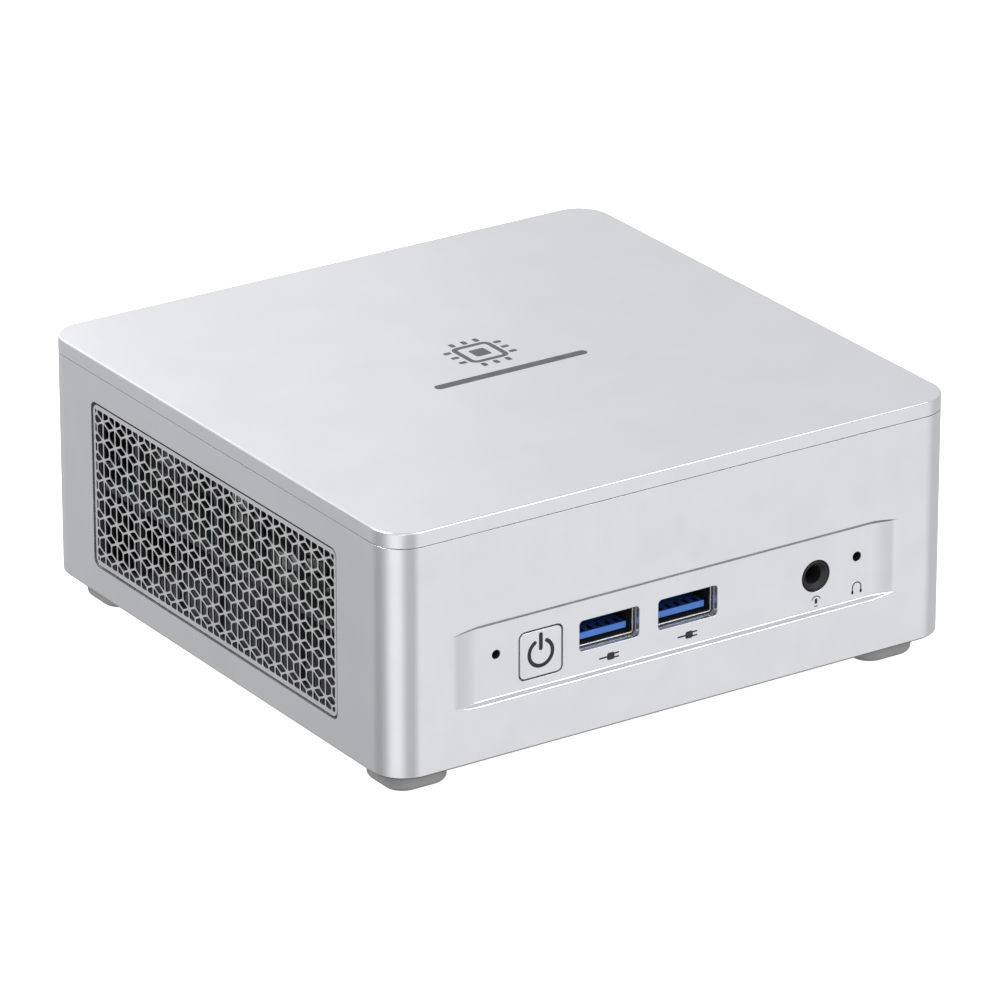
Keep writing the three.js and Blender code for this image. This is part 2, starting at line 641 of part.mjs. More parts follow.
function finStack() {
  const { halfWidth: half, pitch, thickness, count, base, from, to } = FINS;
  const { top, bottom } = BLOWER_SHAPE;
  return extrude(comb(-half, pitch, thickness, count, top, top - base, bottom), 'x', [from, to]);
}

function blowerOutline(inset, outlet) {
  const radius = BLOWER_SHAPE.radius - inset;
  const shape = new THREE.Shape();
  shape.moveTo(outlet, -radius);
  shape.lineTo(outlet, radius);
  shape.absarc(BLOWER.x, BLOWER.y, radius, Math.PI / 2, Math.PI * 1.5, false);
  shape.closePath();
  return shape;
}

function blowerHousing() {
  const { outlet, wall, bottom, top, cap } = BLOWER_SHAPE;
  const SPINDLE = { radius: 3, length: 5 };
  const roof = top - cap;
  const block = extrude(blowerOutline(0, outlet), 'z', [bottom, top], 8);
  const duct = extrude(blowerOutline(wall, outlet + OVERSHOOT), 'z', [bottom - OVERSHOOT, roof], 8);
  const spindle = extrude(
    circle(BLOWER.x, BLOWER.y, SPINDLE.radius), 'z', [roof - SPINDLE.length, roof + OVERLAP], 6);
  return block.subtract(duct).add(spindle);
}

function blowerCover() {
  const INLET_RADIUS = 19;
  const SHEET = 0.8;
  const level = [BLOWER_SHAPE.bottom - GAP - SHEET, BLOWER_SHAPE.bottom - GAP];
  const plate = extrude(blowerOutline(0, BLOWER_SHAPE.outlet), 'z', level, 8);
  const through = [level[0] - OVERSHOOT, level[1] + OVERSHOOT];
  const inlet = extrude(circle(BLOWER.x, BLOWER.y, INLET_RADIUS), 'z', through, 10);
  return plate.subtract(inlet);
}

// Blades hang from a thin disc around the hub, which turns on the housing's spindle.
function impeller() {
  const BLADES = { count: 19, inner: 15, outer: 25.2, thickness: 0.7, lean: 0.5 };
  const RADIUS = { disc: 24.2, hub: 12, bore: 3.4 };
  const level = { bottom: 9.2, hub: 10.7, bore: 12.9, disc: 17.6, top: 18.4 };
  const disc = extrude(circle(0, 0, RADIUS.disc), 'z', [level.disc, level.top], 10);
  const hub = extrude(circle(0, 0, RADIUS.hub), 'z', [level.hub, level.top], 8);
  const blades = Array.from({ length: BLADES.count }, (_, i) => {
    const blade = new THREE.BoxGeometry(
      BLADES.outer - BLADES.inner, BLADES.thickness, level.top - level.bottom);
    blade.rotateZ(BLADES.lean);
    blade.translate((BLADES.inner + BLADES.outer) / 2, 0, (level.bottom + level.top) / 2);
    blade.rotateZ((i / BLADES.count) * Math.PI * 2);
    return solidOf(blade);
  });
  const bore = extrude(circle(0, 0, RADIUS.bore), 'z', [level.bore, level.top + OVERSHOOT], 6);
  return join([disc, hub, ...blades]).subtract(bore);
}

// ---------------------------------------------------------------- drive-bay cooler

const BAY_FAN = { x: 0, y: -19, size: 50, bore: 23.6, bottom: 44.5, top: 50.3, cornerRadius: 3 };
const BRACKET = { halfWidth: 54, front: -49, rear: 14, bottom: 43.2, top: 44.2, cornerRadius: 3 };

function fanBracket() {
  const LEG = { width: 6, sheet: 1.2, inset: 3 };
  const VENTS = { x: 39, front: -38, pitch: 12, width: 16, height: 4, count: 4 };
  const OPENING_RADIUS = 23;
  const { halfWidth: half, front, rear, bottom, top, cornerRadius } = BRACKET;
  const outline = roundedRect(0, (front + rear) / 2, 2 * half, rear - front, cornerRadius);
  const plate = extrude(outline, 'z', [bottom, top], 2);
  const through = [bottom - OVERSHOOT, top + OVERSHOOT];
  const opening = extrude(circle(BAY_FAN.x, BAY_FAN.y, OPENING_RADIUS), 'z', through, 9);
  const vents = [-1, 1].flatMap((side) => Array.from({ length: VENTS.count }, (_, i) => {
    const y = VENTS.front + i * VENTS.pitch;
    return extrude(slotShape(side * VENTS.x, y, VENTS.width, VENTS.height), 'z', through);
  }));
  const legs = corners.map(([sx, sy]) => {
    const across = [sx * half, sx * (half - LEG.sheet)].sort((a, b) => a - b);
    const edge = sy < 0 ? front + LEG.inset : rear - LEG.inset - LEG.width;
    return box(across, [edge, edge + LEG.width], [onBoard, top - OVERLAP]);
  });
  return join([cut(plate, [opening, ...vents]), ...legs]);
}

function bayFanFrame() {
  const { size, bore, bottom, top, cornerRadius } = BAY_FAN;
  const BASE = { radius: 11.5, height: 0.8 };
  const ARMS = { count: 3, length: bore + 0.6, width: 2.2, turn: 0.4 };
  const SCREW = { offset: 21.5, radius: 1.6 };
  const SPINDLE = { radius: 2, top: 48.1 };
  const through = [bottom - OVERSHOOT, top + OVERSHOOT];
  const frame = extrude(roundedRect(0, 0, size, size, cornerRadius), 'z', [bottom, top], 2);
  const tunnel = extrude(circle(0, 0, bore), 'z', through, 10);
  const holes = corners.map(([sx, sy]) =>
    extrude(circle(sx * SCREW.offset, sy * SCREW.offset, SCREW.radius), 'z', through, 4));
  const arms = Array.from({ length: ARMS.count }, (_, i) => {
    const arm = new THREE.BoxGeometry(ARMS.length, ARMS.width, BASE.height);
    arm.translate(ARMS.length / 2, 0, bottom + BASE.height / 2);
    arm.rotateZ((i / ARMS.count) * Math.PI * 2 + ARMS.turn);
    return solidOf(arm);
  });
  const base = extrude(circle(0, 0, BASE.radius), 'z', [bottom, bottom + BASE.height], 8);
  const spindle = extrude(
    circle(0, 0, SPINDLE.radius), 'z', [bottom + BASE.height - OVERLAP, SPINDLE.top], 4);
  return join([cut(frame, [tunnel, ...holes]), base, ...arms, spindle]);
}

function bayFanRotor() {
  const BLADES = { count: 7, length: 14, middle: 18, chord: 10.5, thickness: 0.9, pitch: 0.45, tip: 22.9 };
  const level = { bottom: 45.7, bore: 48.5, top: 49.9 };
  const RADIUS = { hub: 12, bore: 2.3 };
  const hub = extrude(circle(0, 0, RADIUS.hub), 'z', [level.bottom, level.top], 8);
  const trim = extrude(circle(0, 0, BLADES.tip), 'z', [level.bottom, level.top], 10);
  const blades = Array.from({ length: BLADES.count }, (_, i) => {
    const blade = new THREE.BoxGeometry(BLADES.length, BLADES.chord, BLADES.thickness);
    blade.rotateX(BLADES.pitch);
    blade.translate(BLADES.middle, 0, (level.bottom + level.top) / 2);
    blade.rotateZ((i / BLADES.count) * Math.PI * 2);
    return solidOf(blade).intersect(trim);
  });
  const bore = extrude(circle(0, 0, RADIUS.bore), 'z', [level.bottom - OVERSHOOT, level.bore], 5);
  return join([hub, ...blades]).subtract(bore);
}

// ---------------------------------------------------------------- memory, drive, radio

const MEMORY_SOCKET = {
  halfLength: 36, depth: 5.6,
  slot: { halfLength: 34.5, front: 3, drop: 2.3, lip: 0.5 },
  arm: { thickness: 1.2, from: 5, to: 26, drop: 2.4, lip: 0.6 },
};

// A long socket that holds a module's lower edge at the height of its slot.
function memorySocket(height) {
  const { halfLength: half, depth, slot, arm } = MEMORY_SOCKET;
  const body = box([-half, half], [0, depth], [0, height]);
  const level = [height - slot.drop, height - slot.lip];
  const groove = box([-slot.halfLength, slot.halfLength], [slot.front, depth + OVERSHOOT], level);
  const arms = [-half, half - arm.thickness].map((edge) =>
    box([edge, edge + arm.thickness], [arm.from, arm.to], [height - arm.drop, height - arm.lip]));
  return join([body.subtract(groove), ...arms]);
}

function memoryModule() {
  const SHEET = { halfWidth: 33.8, depth: 30, thickness: 1.2 };
  const CHIPS = { left: [-25.5, -13, 3, 15.5], width: 10, y: [14, 25], height: 1.1 };
  const sheet = box([-SHEET.halfWidth, SHEET.halfWidth], [0, SHEET.depth], [0, SHEET.thickness]);
  const level = [SHEET.thickness - OVERLAP, SHEET.thickness + CHIPS.height];
  return join([sheet, ...CHIPS.left.map((x) => box([x, x + CHIPS.width], CHIPS.y, level))]);
}

// The drive's heat sink lies on it, away from its two ends; its socket holds its right end.
const DRIVE = { length: 80, width: 22, thickness: 0.8, x: -39, y: -44, z: 32.4 };
const HEATSINK = { start: 4, end: 74, rise: 2.3, base: 1.6, height: 5 };
const HEATSINK_FINS = { start: 0.4, pitch: 3, thickness: 1, count: 8 };

function driveModule() {
  const CHIPS = { from: [8, 28, 50], size: [14, 16, 18], y: [3, 19], top: 2 };
  const sheet = box([0, DRIVE.length], [0, DRIVE.width], [0, DRIVE.thickness]);
  const level = [DRIVE.thickness - OVERLAP, CHIPS.top];
  return join([sheet, ...CHIPS.from.map((x, i) => box([x, x + CHIPS.size[i]], CHIPS.y, level))]);
}

function driveHeatsink() {
  const { start, pitch, thickness, count } = HEATSINK_FINS;
  const profile = comb(start, pitch, thickness, count, 0, HEATSINK.base, HEATSINK.height);
  return extrude(profile, 'x', [HEATSINK.start, HEATSINK.end]);
}

const DRIVE_SOCKET = { length: 6.5, height: 4 };
const RADIO_SOCKET = { length: 5, height: 3.6 };

// The socket at the right end of a card.
function edgeSocket({ length, height }, cardWidth) {
  const SIDE = 0.5;
  return box([0, length], [-SIDE, cardWidth + SIDE], [0, height]);
}

const RADIO = { x: 23.5, y: 18, z: 32.2, length: 28, width: 22, thickness: 0.8 };

function radioCard() {
  const SHIELD = { x: [7, 25], y: [2.5, 19.5], top: 2.2 };
  const STUDS = { x: 3, y: [5, 17], radius: 1, top: 1.8 };
  const { length, width, thickness } = RADIO;
  const base = thickness - OVERLAP;
  const studs = STUDS.y.map((y) => extrude(circle(STUDS.x, y, STUDS.radius), 'z', [base, STUDS.top], 4));
  return join([
    box([0, length], [0, width], [0, thickness]),
    box(SHIELD.x, SHIELD.y, [base, SHIELD.top]),
    ...studs,
  ]);
}

const AERIAL = { x: 38, y: innerFront + GAP, z: 40, halfLength: 14, halfHeight: 4, thickness: 0.6 };

function aerial() {
  const { halfLength, halfHeight, thickness } = AERIAL;
  return box([-halfLength, halfLength], [0, thickness], [-halfHeight, halfHeight]);
}

// A thin coaxial lead along a smooth curve through hand-set points.
function lead(points, steps) {
  const SIDES = 8;
  const RADIUS = 0.55;
  const section = polygon(Array.from({ length: SIDES }, (_, i) => {
    const angle = (i / SIDES) * Math.PI * 2;
    return [RADIUS * Math.cos(angle), RADIUS * Math.sin(angle)];
  }));
  const extrudePath = new THREE.CatmullRomCurve3(points.map((point) => new THREE.Vector3(...point)));
  return solidOf(new THREE.ExtrudeGeometry(section, { steps, bevelEnabled: false, extrudePath }));
}

// ---------------------------------------------------------------- assembly

place('main_shell', mainShell(), silver);
place('top_lid', topLid(), silver);
place('bottom_cover', bottomCover(), silver);

const grilleX = halfWidth - VENT_POCKET_DEPTH + GAP + GRILLE_THICKNESS / 2;
place('grille_left', grille(), ventSilver, [-grilleX, VENT.y, VENT.z]);
place('grille_right', grille(), ventSilver, [grilleX, VENT.y, VENT.z]);

const FOOT_NAMES = ['foot_front_left', 'foot_front_right', 'foot_rear_left', 'foot_rear_right'];
corners.forEach(([sx, sy], i) => {
  place(FOOT_NAMES[i], foot(), rubber, [sx * FOOT.x, sy * FOOT.y, 0]);
});

casePosts.forEach(([x, y], i) => {
  place(`case_screw_${i + 1}`, screw(CASE_SCREW), screwBlack, [x, y, caseBase + CASE_SCREW.sunk]);
});
const boardScrewTop = onBoard + BOARD_SCREW.headHeight;
boardPosts.forEach(([x, y], i) => {
  place(`board_screw_${i + 1}`, screw(BOARD_SCREW), zincSteel, [x, y, boardScrewTop]).rotation.x = Math.PI;
});

place('mainboard', mainboard(), boardGreen);
place('cpu_package', processor(), chipBlack, [PROCESSOR.x, PROCESSOR.y, underBoard]);
place('cold_plate', coldPlate(), copper);
const pipeLevel = (COOLER.pipeBottom + COOLER.pipeTop) / 2;
place('heat_pipe_rear', heatPipe(), copper, [0, 0, pipeLevel]);
place('heat_pipe_front', heatPipe(), copper, [0, 0, pipeLevel]).rotation.x = Math.PI;
place('fin_stack', finStack(), finMetal);
place('blower_housing', blowerHousing(), blackPlastic);
place('blower_cover', blowerCover(), zincSteel);
place('blower_impeller', impeller(), blackPlastic, [BLOWER.x, BLOWER.y, 0]);

place('fan_bracket', fanBracket(), finMetal);
place('bay_fan_frame', bayFanFrame(), blackPlastic, [BAY_FAN.x, BAY_FAN.y, 0]);
place('bay_fan_rotor', bayFanRotor(), blackPlastic, [BAY_FAN.x, BAY_FAN.y, 0]);

// The upper deck's socket is taller and stands further forward, so its module clears the lower one.
const MEMORY_X = -14;
const MEMORY_DECKS = { lower: { y: 8, height: 4.4 }, upper: { y: 1.4, height: 9.4 } };
const MODULE_SEAT = { y: 3.4, drop: 2 };
Object.entries(MEMORY_DECKS).forEach(([deck, { y, height }]) => {
  const seat = [MEMORY_X, y + MODULE_SEAT.y, onBoard + height - MODULE_SEAT.drop];
  place(`memory_socket_${deck}`, memorySocket(height), blackPlastic, [MEMORY_X, y, onBoard]);
  place(`memory_module_${deck}`, memoryModule(), boardGreen, seat);
});

const driveEnd = DRIVE.x + DRIVE.length + GAP;
place('ssd_socket', edgeSocket(DRIVE_SOCKET, DRIVE.width), blackPlastic, [driveEnd, DRIVE.y, onBoard]);
place('ssd_module', driveModule(), boardGreen, [DRIVE.x, DRIVE.y, DRIVE.z]);
place('ssd_heatsink', driveHeatsink(), finMetal, [DRIVE.x, DRIVE.y, DRIVE.z + HEATSINK.rise]);

place('wifi_card', radioCard(), boardGreen, [RADIO.x, RADIO.y, RADIO.z]);
const radioEnd = RADIO.x + RADIO.length + GAP;
place('wifi_socket', edgeSocket(RADIO_SOCKET, RADIO.width), blackPlastic, [radioEnd, RADIO.y, onBoard]);

place('antenna_left', aerial(), chipBlack, [-AERIAL.x, AERIAL.y, AERIAL.z]);
place('antenna_right', aerial(), chipBlack, [AERIAL.x, AERIAL.y, AERIAL.z]);

// Each lead rises from the radio card and runs round the case's wall to its aerial.
const leadHeight = RADIO.z + 2.4;
const LEAD_STEPS = { right: 32, left: 44 };
place('antenna_lead_right', lead([
  [26.5, 23, leadHeight], [26.5, 23, 37.5], [36, 15, 40.5], [50, 3, 40.5], [57.8, -8, 38],
  [58.2, -28, 37], [57, -46, 38], [48, -55.5, 39.5], [42, -58.5, 40],
], LEAD_STEPS.right), leadBlack);
place('antenna_lead_left', lead([
  [26.5, 35, leadHeight], [26.5, 35.5, 37.5], [25, 44, 37], [14, 48.5, 35], [-20, 49, 34.5],
  [-50, 46.5, 35], [-57.8, 36, 36], [-58.2, 0, 37], [-57.5, -40, 38], [-48, -55.5, 39.5], [-42, -58.5, 40],
], LEAD_STEPS.left), leadBlack);

const BATTERY = { x: -48, y: -11.5, radius: 10, height: 3.2 };
const batteryOutline = circle(BATTERY.x, BATTERY.y, BATTERY.radius);
place('clock_battery', extrude(batteryOutline, 'z', [onBoard, onBoard + BATTERY.height], 12), plated);

FRONT_USB.forEach(({ name, x, z }) => {
  const mouth = [x, recessFace + USB_SETBACK, z];
  place(`${name}_shell`, usbShell(), plated, mouth);
  place(`${name}_tongue`, usbTongue(GAP), bluePlastic, mouth);
});
place('audio_jack', audioJack(), blackPlastic, [JACK.x, recessFace + JACK_SETBACK, JACK.z]);
place('power_button', powerButton(), silver, [BUTTON.x, recessFace, BUTTON.z]);
place('power_switch', powerSwitch(), blackPlastic, [BUTTON.x, recessFace, BUTTON.z]);
const MICROPHONE = { half: 2, depth: 1.6, bottom: -1.6 };
const { half: microphoneHalf, depth: microphoneDepth, bottom: microphoneBottom } = MICROPHONE;
const microphoneLevel = [microphoneBottom, underBoard - MICROPHONE_HOLE.z];
const microphone = box([-microphoneHalf, microphoneHalf], [0, microphoneDepth], microphoneLevel);
place('microphone', microphone, chipBlack, [MICROPHONE_HOLE.x, innerFront + GAP, MICROPHONE_HOLE.z]);

place('rear_io_plate', rearPlate(), zincSteel);
const REAR_BUILDERS = {
  dc_inlet: [dcInlet, blackPlastic],
  usb_c_port: [usbCPort, plated],
  hdmi_port_left: [hdmiPort, plated],
  hdmi_port_right: [hdmiPort, plated],
  ethernet_port: [ethernetPort, plated],
  usb_rear_left: [rearUsb, plated],
  usb_rear_right: [rearUsb, plated],
};
Object.entries(REAR_BUILDERS).forEach(([name, [build, material]]) => {
  const { x, z } = REAR_SOCKETS[name];
  place(name, build(), material, [x, SOCKET_FACE, z]).rotation.z = Math.PI;
});

export default computer;
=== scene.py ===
"""The looks of the mini PC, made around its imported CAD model.

Lengths are in millimetres, and meshes are scaled to metres when they are finished. The front of the
case faces -Y, the vented sides face -X and +X, and the feet stand on z = 0.
"""
import json
import math
import random

import bmesh
import bpy
from mathutils import Matrix, Vector

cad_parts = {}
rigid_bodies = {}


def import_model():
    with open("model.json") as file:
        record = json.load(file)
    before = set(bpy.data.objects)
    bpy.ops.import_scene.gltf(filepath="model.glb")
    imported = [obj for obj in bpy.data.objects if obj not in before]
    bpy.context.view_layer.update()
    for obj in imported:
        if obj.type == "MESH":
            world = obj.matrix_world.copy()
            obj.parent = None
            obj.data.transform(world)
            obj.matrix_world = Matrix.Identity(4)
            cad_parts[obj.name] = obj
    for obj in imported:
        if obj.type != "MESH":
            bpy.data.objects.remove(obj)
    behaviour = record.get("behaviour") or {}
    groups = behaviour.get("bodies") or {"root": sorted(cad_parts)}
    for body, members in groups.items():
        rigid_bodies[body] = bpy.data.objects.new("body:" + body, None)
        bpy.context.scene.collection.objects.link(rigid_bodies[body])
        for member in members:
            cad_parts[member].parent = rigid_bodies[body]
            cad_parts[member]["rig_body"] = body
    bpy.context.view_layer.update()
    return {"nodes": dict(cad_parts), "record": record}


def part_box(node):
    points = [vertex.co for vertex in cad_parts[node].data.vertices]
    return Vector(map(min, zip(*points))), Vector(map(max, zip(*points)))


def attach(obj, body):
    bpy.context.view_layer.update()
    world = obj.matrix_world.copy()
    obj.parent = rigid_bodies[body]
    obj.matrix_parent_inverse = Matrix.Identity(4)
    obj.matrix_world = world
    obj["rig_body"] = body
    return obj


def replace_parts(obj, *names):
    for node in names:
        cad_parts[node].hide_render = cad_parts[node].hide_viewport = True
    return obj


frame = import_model()

MM = 0.001
FAR = 200.0  # beyond anything on the object
OVERSHOOT = 1.0  # how far a cutting tool runs past the surface that it cuts
GAP = 0.3  # what the CAD model leaves between two pieces that touch
SLOT_OF = {part["node"]: part["material_slot"] for part in frame["record"]["subparts"]}
CAD = frame["nodes"]


def span(node):
    """A CAD node's lowest and highest corner."""
    low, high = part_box(node)
    return low / MM, high / MM


def size(node):
    low, high = span(node)
    return high - low


def middle(node):
    low, high = span(node)
    return (low + high) / 2


# ---------------------------------------------------------------- outlines

def circle(radius, steps=32, centre=(0, 0)):
    turns = [2 * math.pi * i / steps for i in range(steps)]
    return [(centre[0] + radius * math.cos(turn), centre[1] + radius * math.sin(turn)) for turn in turns]


def rounded_rect(width, height, radius, steps=5, centre=(0, 0)):
    """A rounded rectangle's outline, anticlockwise."""
    radius = min(radius, 0.499 * min(width, height))
    points = []
    for quarter in range(4):
        side_a = 1 if quarter in (0, 3) else -1
        side_b = 1 if quarter < 2 else -1
        for step in range(steps + 1):
            angle = (quarter + step / steps) * math.pi / 2
            points.append((centre[0] + side_a * (width / 2 - radius) + radius * math.cos(angle),
                           centre[1] + side_b * (height / 2 - radius) + radius * math.sin(angle)))
    return points


def corners(points):
    """Each point of an outline between its two neighbours."""
    points = [Vector(point) for point in points]
    return zip(points[-1:] + points[:-1], points, points[1:] + points[:1])


def grow(outline, distance):
    """An anticlockwise outline moved outward by a distance; a negative distance moves it inward."""
    grown = []
    for before, here, after in corners(outline):
        arriving, leaving = (here - before).normalized(), (after - here).normalized()
        outward = Vector((arriving.y + leaving.y, -arriving.x - leaving.x))
        grown.append(here + outward * distance / (1 + arriving.dot(leaving)))
    return grown


def turn_corner(before, here, after, reach, steps):
    """The points of a small curve in place of a corner."""
    start = here + (before - here).normalized() * min(reach, (before - here).length * 0.45)
    end = here + (after - here).normalized() * min(reach, (after - here).length * 0.45)
    ways = [step / steps for step in range(steps + 1)]
    return [start.lerp(here, way).lerp(here.lerp(end, way), way) for way in ways]


def soften(outline, reach, steps=2):
    """The outline with a small curve in place of each corner."""
    curves = [turn_corner(*corner, reach, steps) for corner in corners(outline)]
    return [point for curve in curves for point in curve]


def arc_stroke(radius, width, start, end, steps=28, centre=(0, 0)):
    """An arc drawn with a pen of that width and a round tip."""
    half = width / 2
    tip_steps = 6
    points = []
    for rim, first, last, way in ((radius + half, start, end, 0), (radius - half, end, start, math.pi)):
        for step in range(steps + 1):
            angle = first + (last - first) * step / steps
            points.append((centre[0] + rim * math.cos(angle), centre[1] + rim * math.sin(angle)))
        tip = (centre[0] + radius * math.cos(last), centre[1] + radius * math.sin(last))
        for step in range(1, tip_steps):
            angle = last + way + step / tip_steps * math.pi
            points.append((tip[0] + half * math.cos(angle), tip[1] + half * math.sin(angle)))
    return points


# ---------------------------------------------------------------- skins

# A skin is a closed surface, as a list of points and a list of faces.

def loft(sections, ring=False):
    """A skin over sections that all have the same number of points, capped or closed into a ring."""
    sides, count = len(sections[0]), len(sections)
    points = [Vector(point) for section in sections for point in section]
    faces = [] if ring else [tuple(range(sides)), tuple(range(len(points) - sides, len(points)))]
    for section in range(count if ring else count - 1):
        here, after = section * sides, (section + 1) % count * sides
        for i in range(sides):
            j = (i + 1) % sides
            faces.append((here + i, here + j, after + j, after + i))
    return points, faces


def across(outline, axis, level, centre=(0, 0)):
    """An outline's points on the plane across an axis at a level."""
    shifted = [(a + centre[0], b + centre[1]) for a, b in outline]
    if axis == "x":
        return [(level, a, b) for a, b in shifted]
    if axis == "y":
        return [(a, level, b) for a, b in shifted]
    return [(a, b, level) for a, b in shifted]


def block(outline, axis, profile, centre=(0, 0)):
    """A skin through copies of an outline; a profile's steps are each one's growth and level."""
    return loft([across(grow(outline, growth), axis, level, centre) for growth, level in profile])


def pipe(outline, wall, axis, start, end, centre=(0, 0)):
    """A skin round a wall that stands inside an outline and is open at both ends."""
    profile = [(0, start), (0, end), (-wall, end), (-wall, start)]
    return loft([across(grow(outline, growth), axis, level, centre) for growth, level in profile], ring=True)


def quarter_round(radius, steps):
    """How far in and how far along each step of a rounded edge lies."""
    angles = [step / steps * math.pi / 2 for step in range(steps + 1)] if radius else [math.pi / 2]
    return [(radius * (1 - math.sin(angle)), radius * (1 - math.cos(angle))) for angle in angles]


def rolled(start, end, first=0.0, last=0.0, steps=3):
    """The profile of a block whose edges at its start and end are rounded."""
    way = math.copysign(1, end - start)
    opening = [(-inward, start + way * along) for inward, along in quarter_round(first, steps)]
    closing = [(-inward, end - way * along) for inward, along in quarter_round(last, steps)]
    return opening + closing[::-1]


def flared(mouth, end, radius, steps=2):
    """The profile of a hole whose mouth has a rounded edge."""
    way = math.copysign(1, end - mouth)
    lip = [(outward, mouth + way * along) for outward, along in quarter_round(radius, steps)]
    return [(radius, mouth - way * OVERSHOOT)] + lip + [(0, end)]


def cup(outline, wall, depth, length, edge, lip):
    """A block along Y with a hollow in its face: from the hollow's end, over its lip and down the outside."""
    hollow = [(growth - wall, level) for growth, level in flared(0, depth, lip)[:0:-1]]
    return block(outline, "y", hollow + rolled(0, length, first=edge))


def box(x, y, z):
    outline = [(x[0], y[0]), (x[1], y[0]), (x[1], y[1]), (x[0], y[1])]
    return loft([across(outline, "z", level) for level in z])


def together(skins):
    points, faces = [], []
    for skin_points, skin_faces in skins:
        faces += [tuple(i + len(points) for i in face) for face in skin_faces]
        points += skin_points
    return points, faces


# ---------------------------------------------------------------- pieces

def link(mesh, name="piece"):
    piece = bpy.data.objects.new(name, mesh)
    bpy.context.scene.collection.objects.link(piece)
    return piece


def solid(skin):
    """A Blender object of a skin, with its faces turned outward."""
    mesh = bpy.data.meshes.new("piece")
    mesh.from_pydata([tuple(point) for point in skin[0]], [], skin[1])
    form = bmesh.new()
    form.from_mesh(mesh)
    bmesh.ops.recalc_face_normals(form, faces=form.faces)
    form.to_mesh(mesh)
    form.free()
    return link(mesh)


def as_object(form):
    return form if isinstance(form, bpy.types.Object) else solid(form)


def bake(piece):
    """Gives a piece the mesh that its modifiers make."""
    graph = bpy.context.evaluated_depsgraph_get()
    mesh = bpy.data.meshes.new_from_object(piece.evaluated_get(graph))
    piece.modifiers.clear()
    piece.data = mesh
    return piece


def combine(piece, operation, forms):
    """Cuts a piece with skins or objects, or joins it to them, and removes them."""
    tools = [as_object(form) for form in forms]
    for tool in tools:
        modifier = piece.modifiers.new("combine", "BOOLEAN")
        modifier.operation = operation
        modifier.solver = "EXACT"
        modifier.object = tool
    bake(piece)
    for tool in tools:
        bpy.data.objects.remove(tool)
    return piece


def carve(piece, *forms):
    return combine(piece, "DIFFERENCE", forms)


def weld(piece, *forms):
    return combine(piece, "UNION", forms)


def settle(form, place):
    """An object of a skin or a piece, moved by a placement matrix."""
    piece = as_object(form)
    piece.data.transform(place)
    return piece


def paint(piece, index, low, high):
    """Gives a material to the faces whose middles lie within a box."""
    for face in piece.data.polygons:
        if all(low[axis] <= face.center[axis] <= high[axis] for axis in range(3)):
            face.material_index = index


def give_materials(piece, *materials):
    """Gives a piece the materials that its faces choose from."""
    for material in materials:
        piece.data.materials.append(material)


def spread(count, pitch):
    """Evenly spaced places, centred on zero."""
    return [(i - (count - 1) / 2) * pitch for i in range(count)]


def finish(piece, name, body, material, sharp=32):
    """Scales a piece to metres, shades it smooth up to its sharp edges, and lets it ride."""
    mesh = piece.data
    mesh.transform(Matrix.Scale(MM, 4))
    mesh.shade_smooth()
    mesh.set_sharp_from_angle(angle=math.radians(sharp))
    if not mesh.materials:
        mesh.materials.append(material)
    weighted = piece.modifiers.new("weighted", "WEIGHTED_NORMAL")
    weighted.keep_sharp = True
    piece.name = name
    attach(piece, body)
    return piece


def stand_for(form, node):
    """Finishes a piece that is shown in place of a CAD node."""
    slot = SLOT_OF[node]
    piece = finish(as_object(form), node + "_detail", CAD[node]["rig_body"], FINISHES[slot])
    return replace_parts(piece, node)


def add_on(form, name, slot, material=None, body="chassis"):
    """Finishes a small piece that the CAD model doesn't have."""
    return finish(as_object(form), name, body, material or FINISHES[slot])


# ---------------------------------------------------------------- finishes

class Nodes:
    """A shader tree, built node by node."""

    def __init__(self, tree):
        self.tree = tree

    def node(self, kind, inputs=(), **settings):
        node = self.tree.nodes.new(kind)
        for setting, value in settings.items():
            setattr(node, setting, value)
        for socket, value in dict(inputs).items():
            if isinstance(value, bpy.types.NodeSocket):
                self.tree.links.new(value, node.inputs[socket])
            else:
                node.inputs[socket].default_value = value
        return node

    def ramp(self, value, stops):
        """A colour that runs straight from stop to stop; a stop is its place and its colour."""
        node = self.node("ShaderNodeValToRGB", {"Fac": value})
        elements = node.color_ramp.elements
        while len(elements) < len(stops):
            elements.new(1.0)
        for element, (place, colour) in zip(elements, stops):
            element.position = place
            element.color = (*colour, 1)
        return node.outputs["Color"]


class Finish(Nodes):
    """A procedural material, built around its shader."""

    def __init__(self, name, **constants):
        self.material = bpy.data.materials.new(name)
        self.material.use_nodes = True
        super().__init__(self.material.node_tree)
        self.shader = self.tree.nodes["Principled BSDF"]
        self.place = self.node("ShaderNodeTexCoord").outputs["Object"]
        for socket, value in constants.items():
            self.shader.inputs[socket.replace("_", " ")].default_value = value

    def noise(self, width, detail=2.0, stretch=(1, 1, 1)):
        """Soft noise whose blotches are about that many millimetres wide."""
        scaled = self.node("ShaderNodeMapping", {"Vector": self.place, "Scale": stretch})
        inputs = {"Vector": scaled.outputs[0], "Scale": 1 / (width * MM), "Detail": detail}
        return self.node("ShaderNodeTexNoise", inputs).outputs["Fac"]

    def between(self, value, low, high, start=0.3, end=0.7):
        inputs = {"Value": value, "From Min": start, "From Max": end, "To Min": low, "To Max": high}
        return self.node("ShaderNodeMapRange", inputs).outputs["Result"]

    def drive(self, socket, value):
        self.tree.links.new(value, self.shader.inputs[socket])

    def colour(self, value, first, second):
        self.drive("Base Color", self.ramp(value, [(0, first), (1, second)]))

    def bump(self, height, depth, strength=0.6):
        """Relief of a depth in millimetres."""
        inputs = {"Height": height, "Distance": depth * MM, "Strength": strength}
        self.drive("Normal", self.node("ShaderNodeBump", inputs).outputs["Normal"])


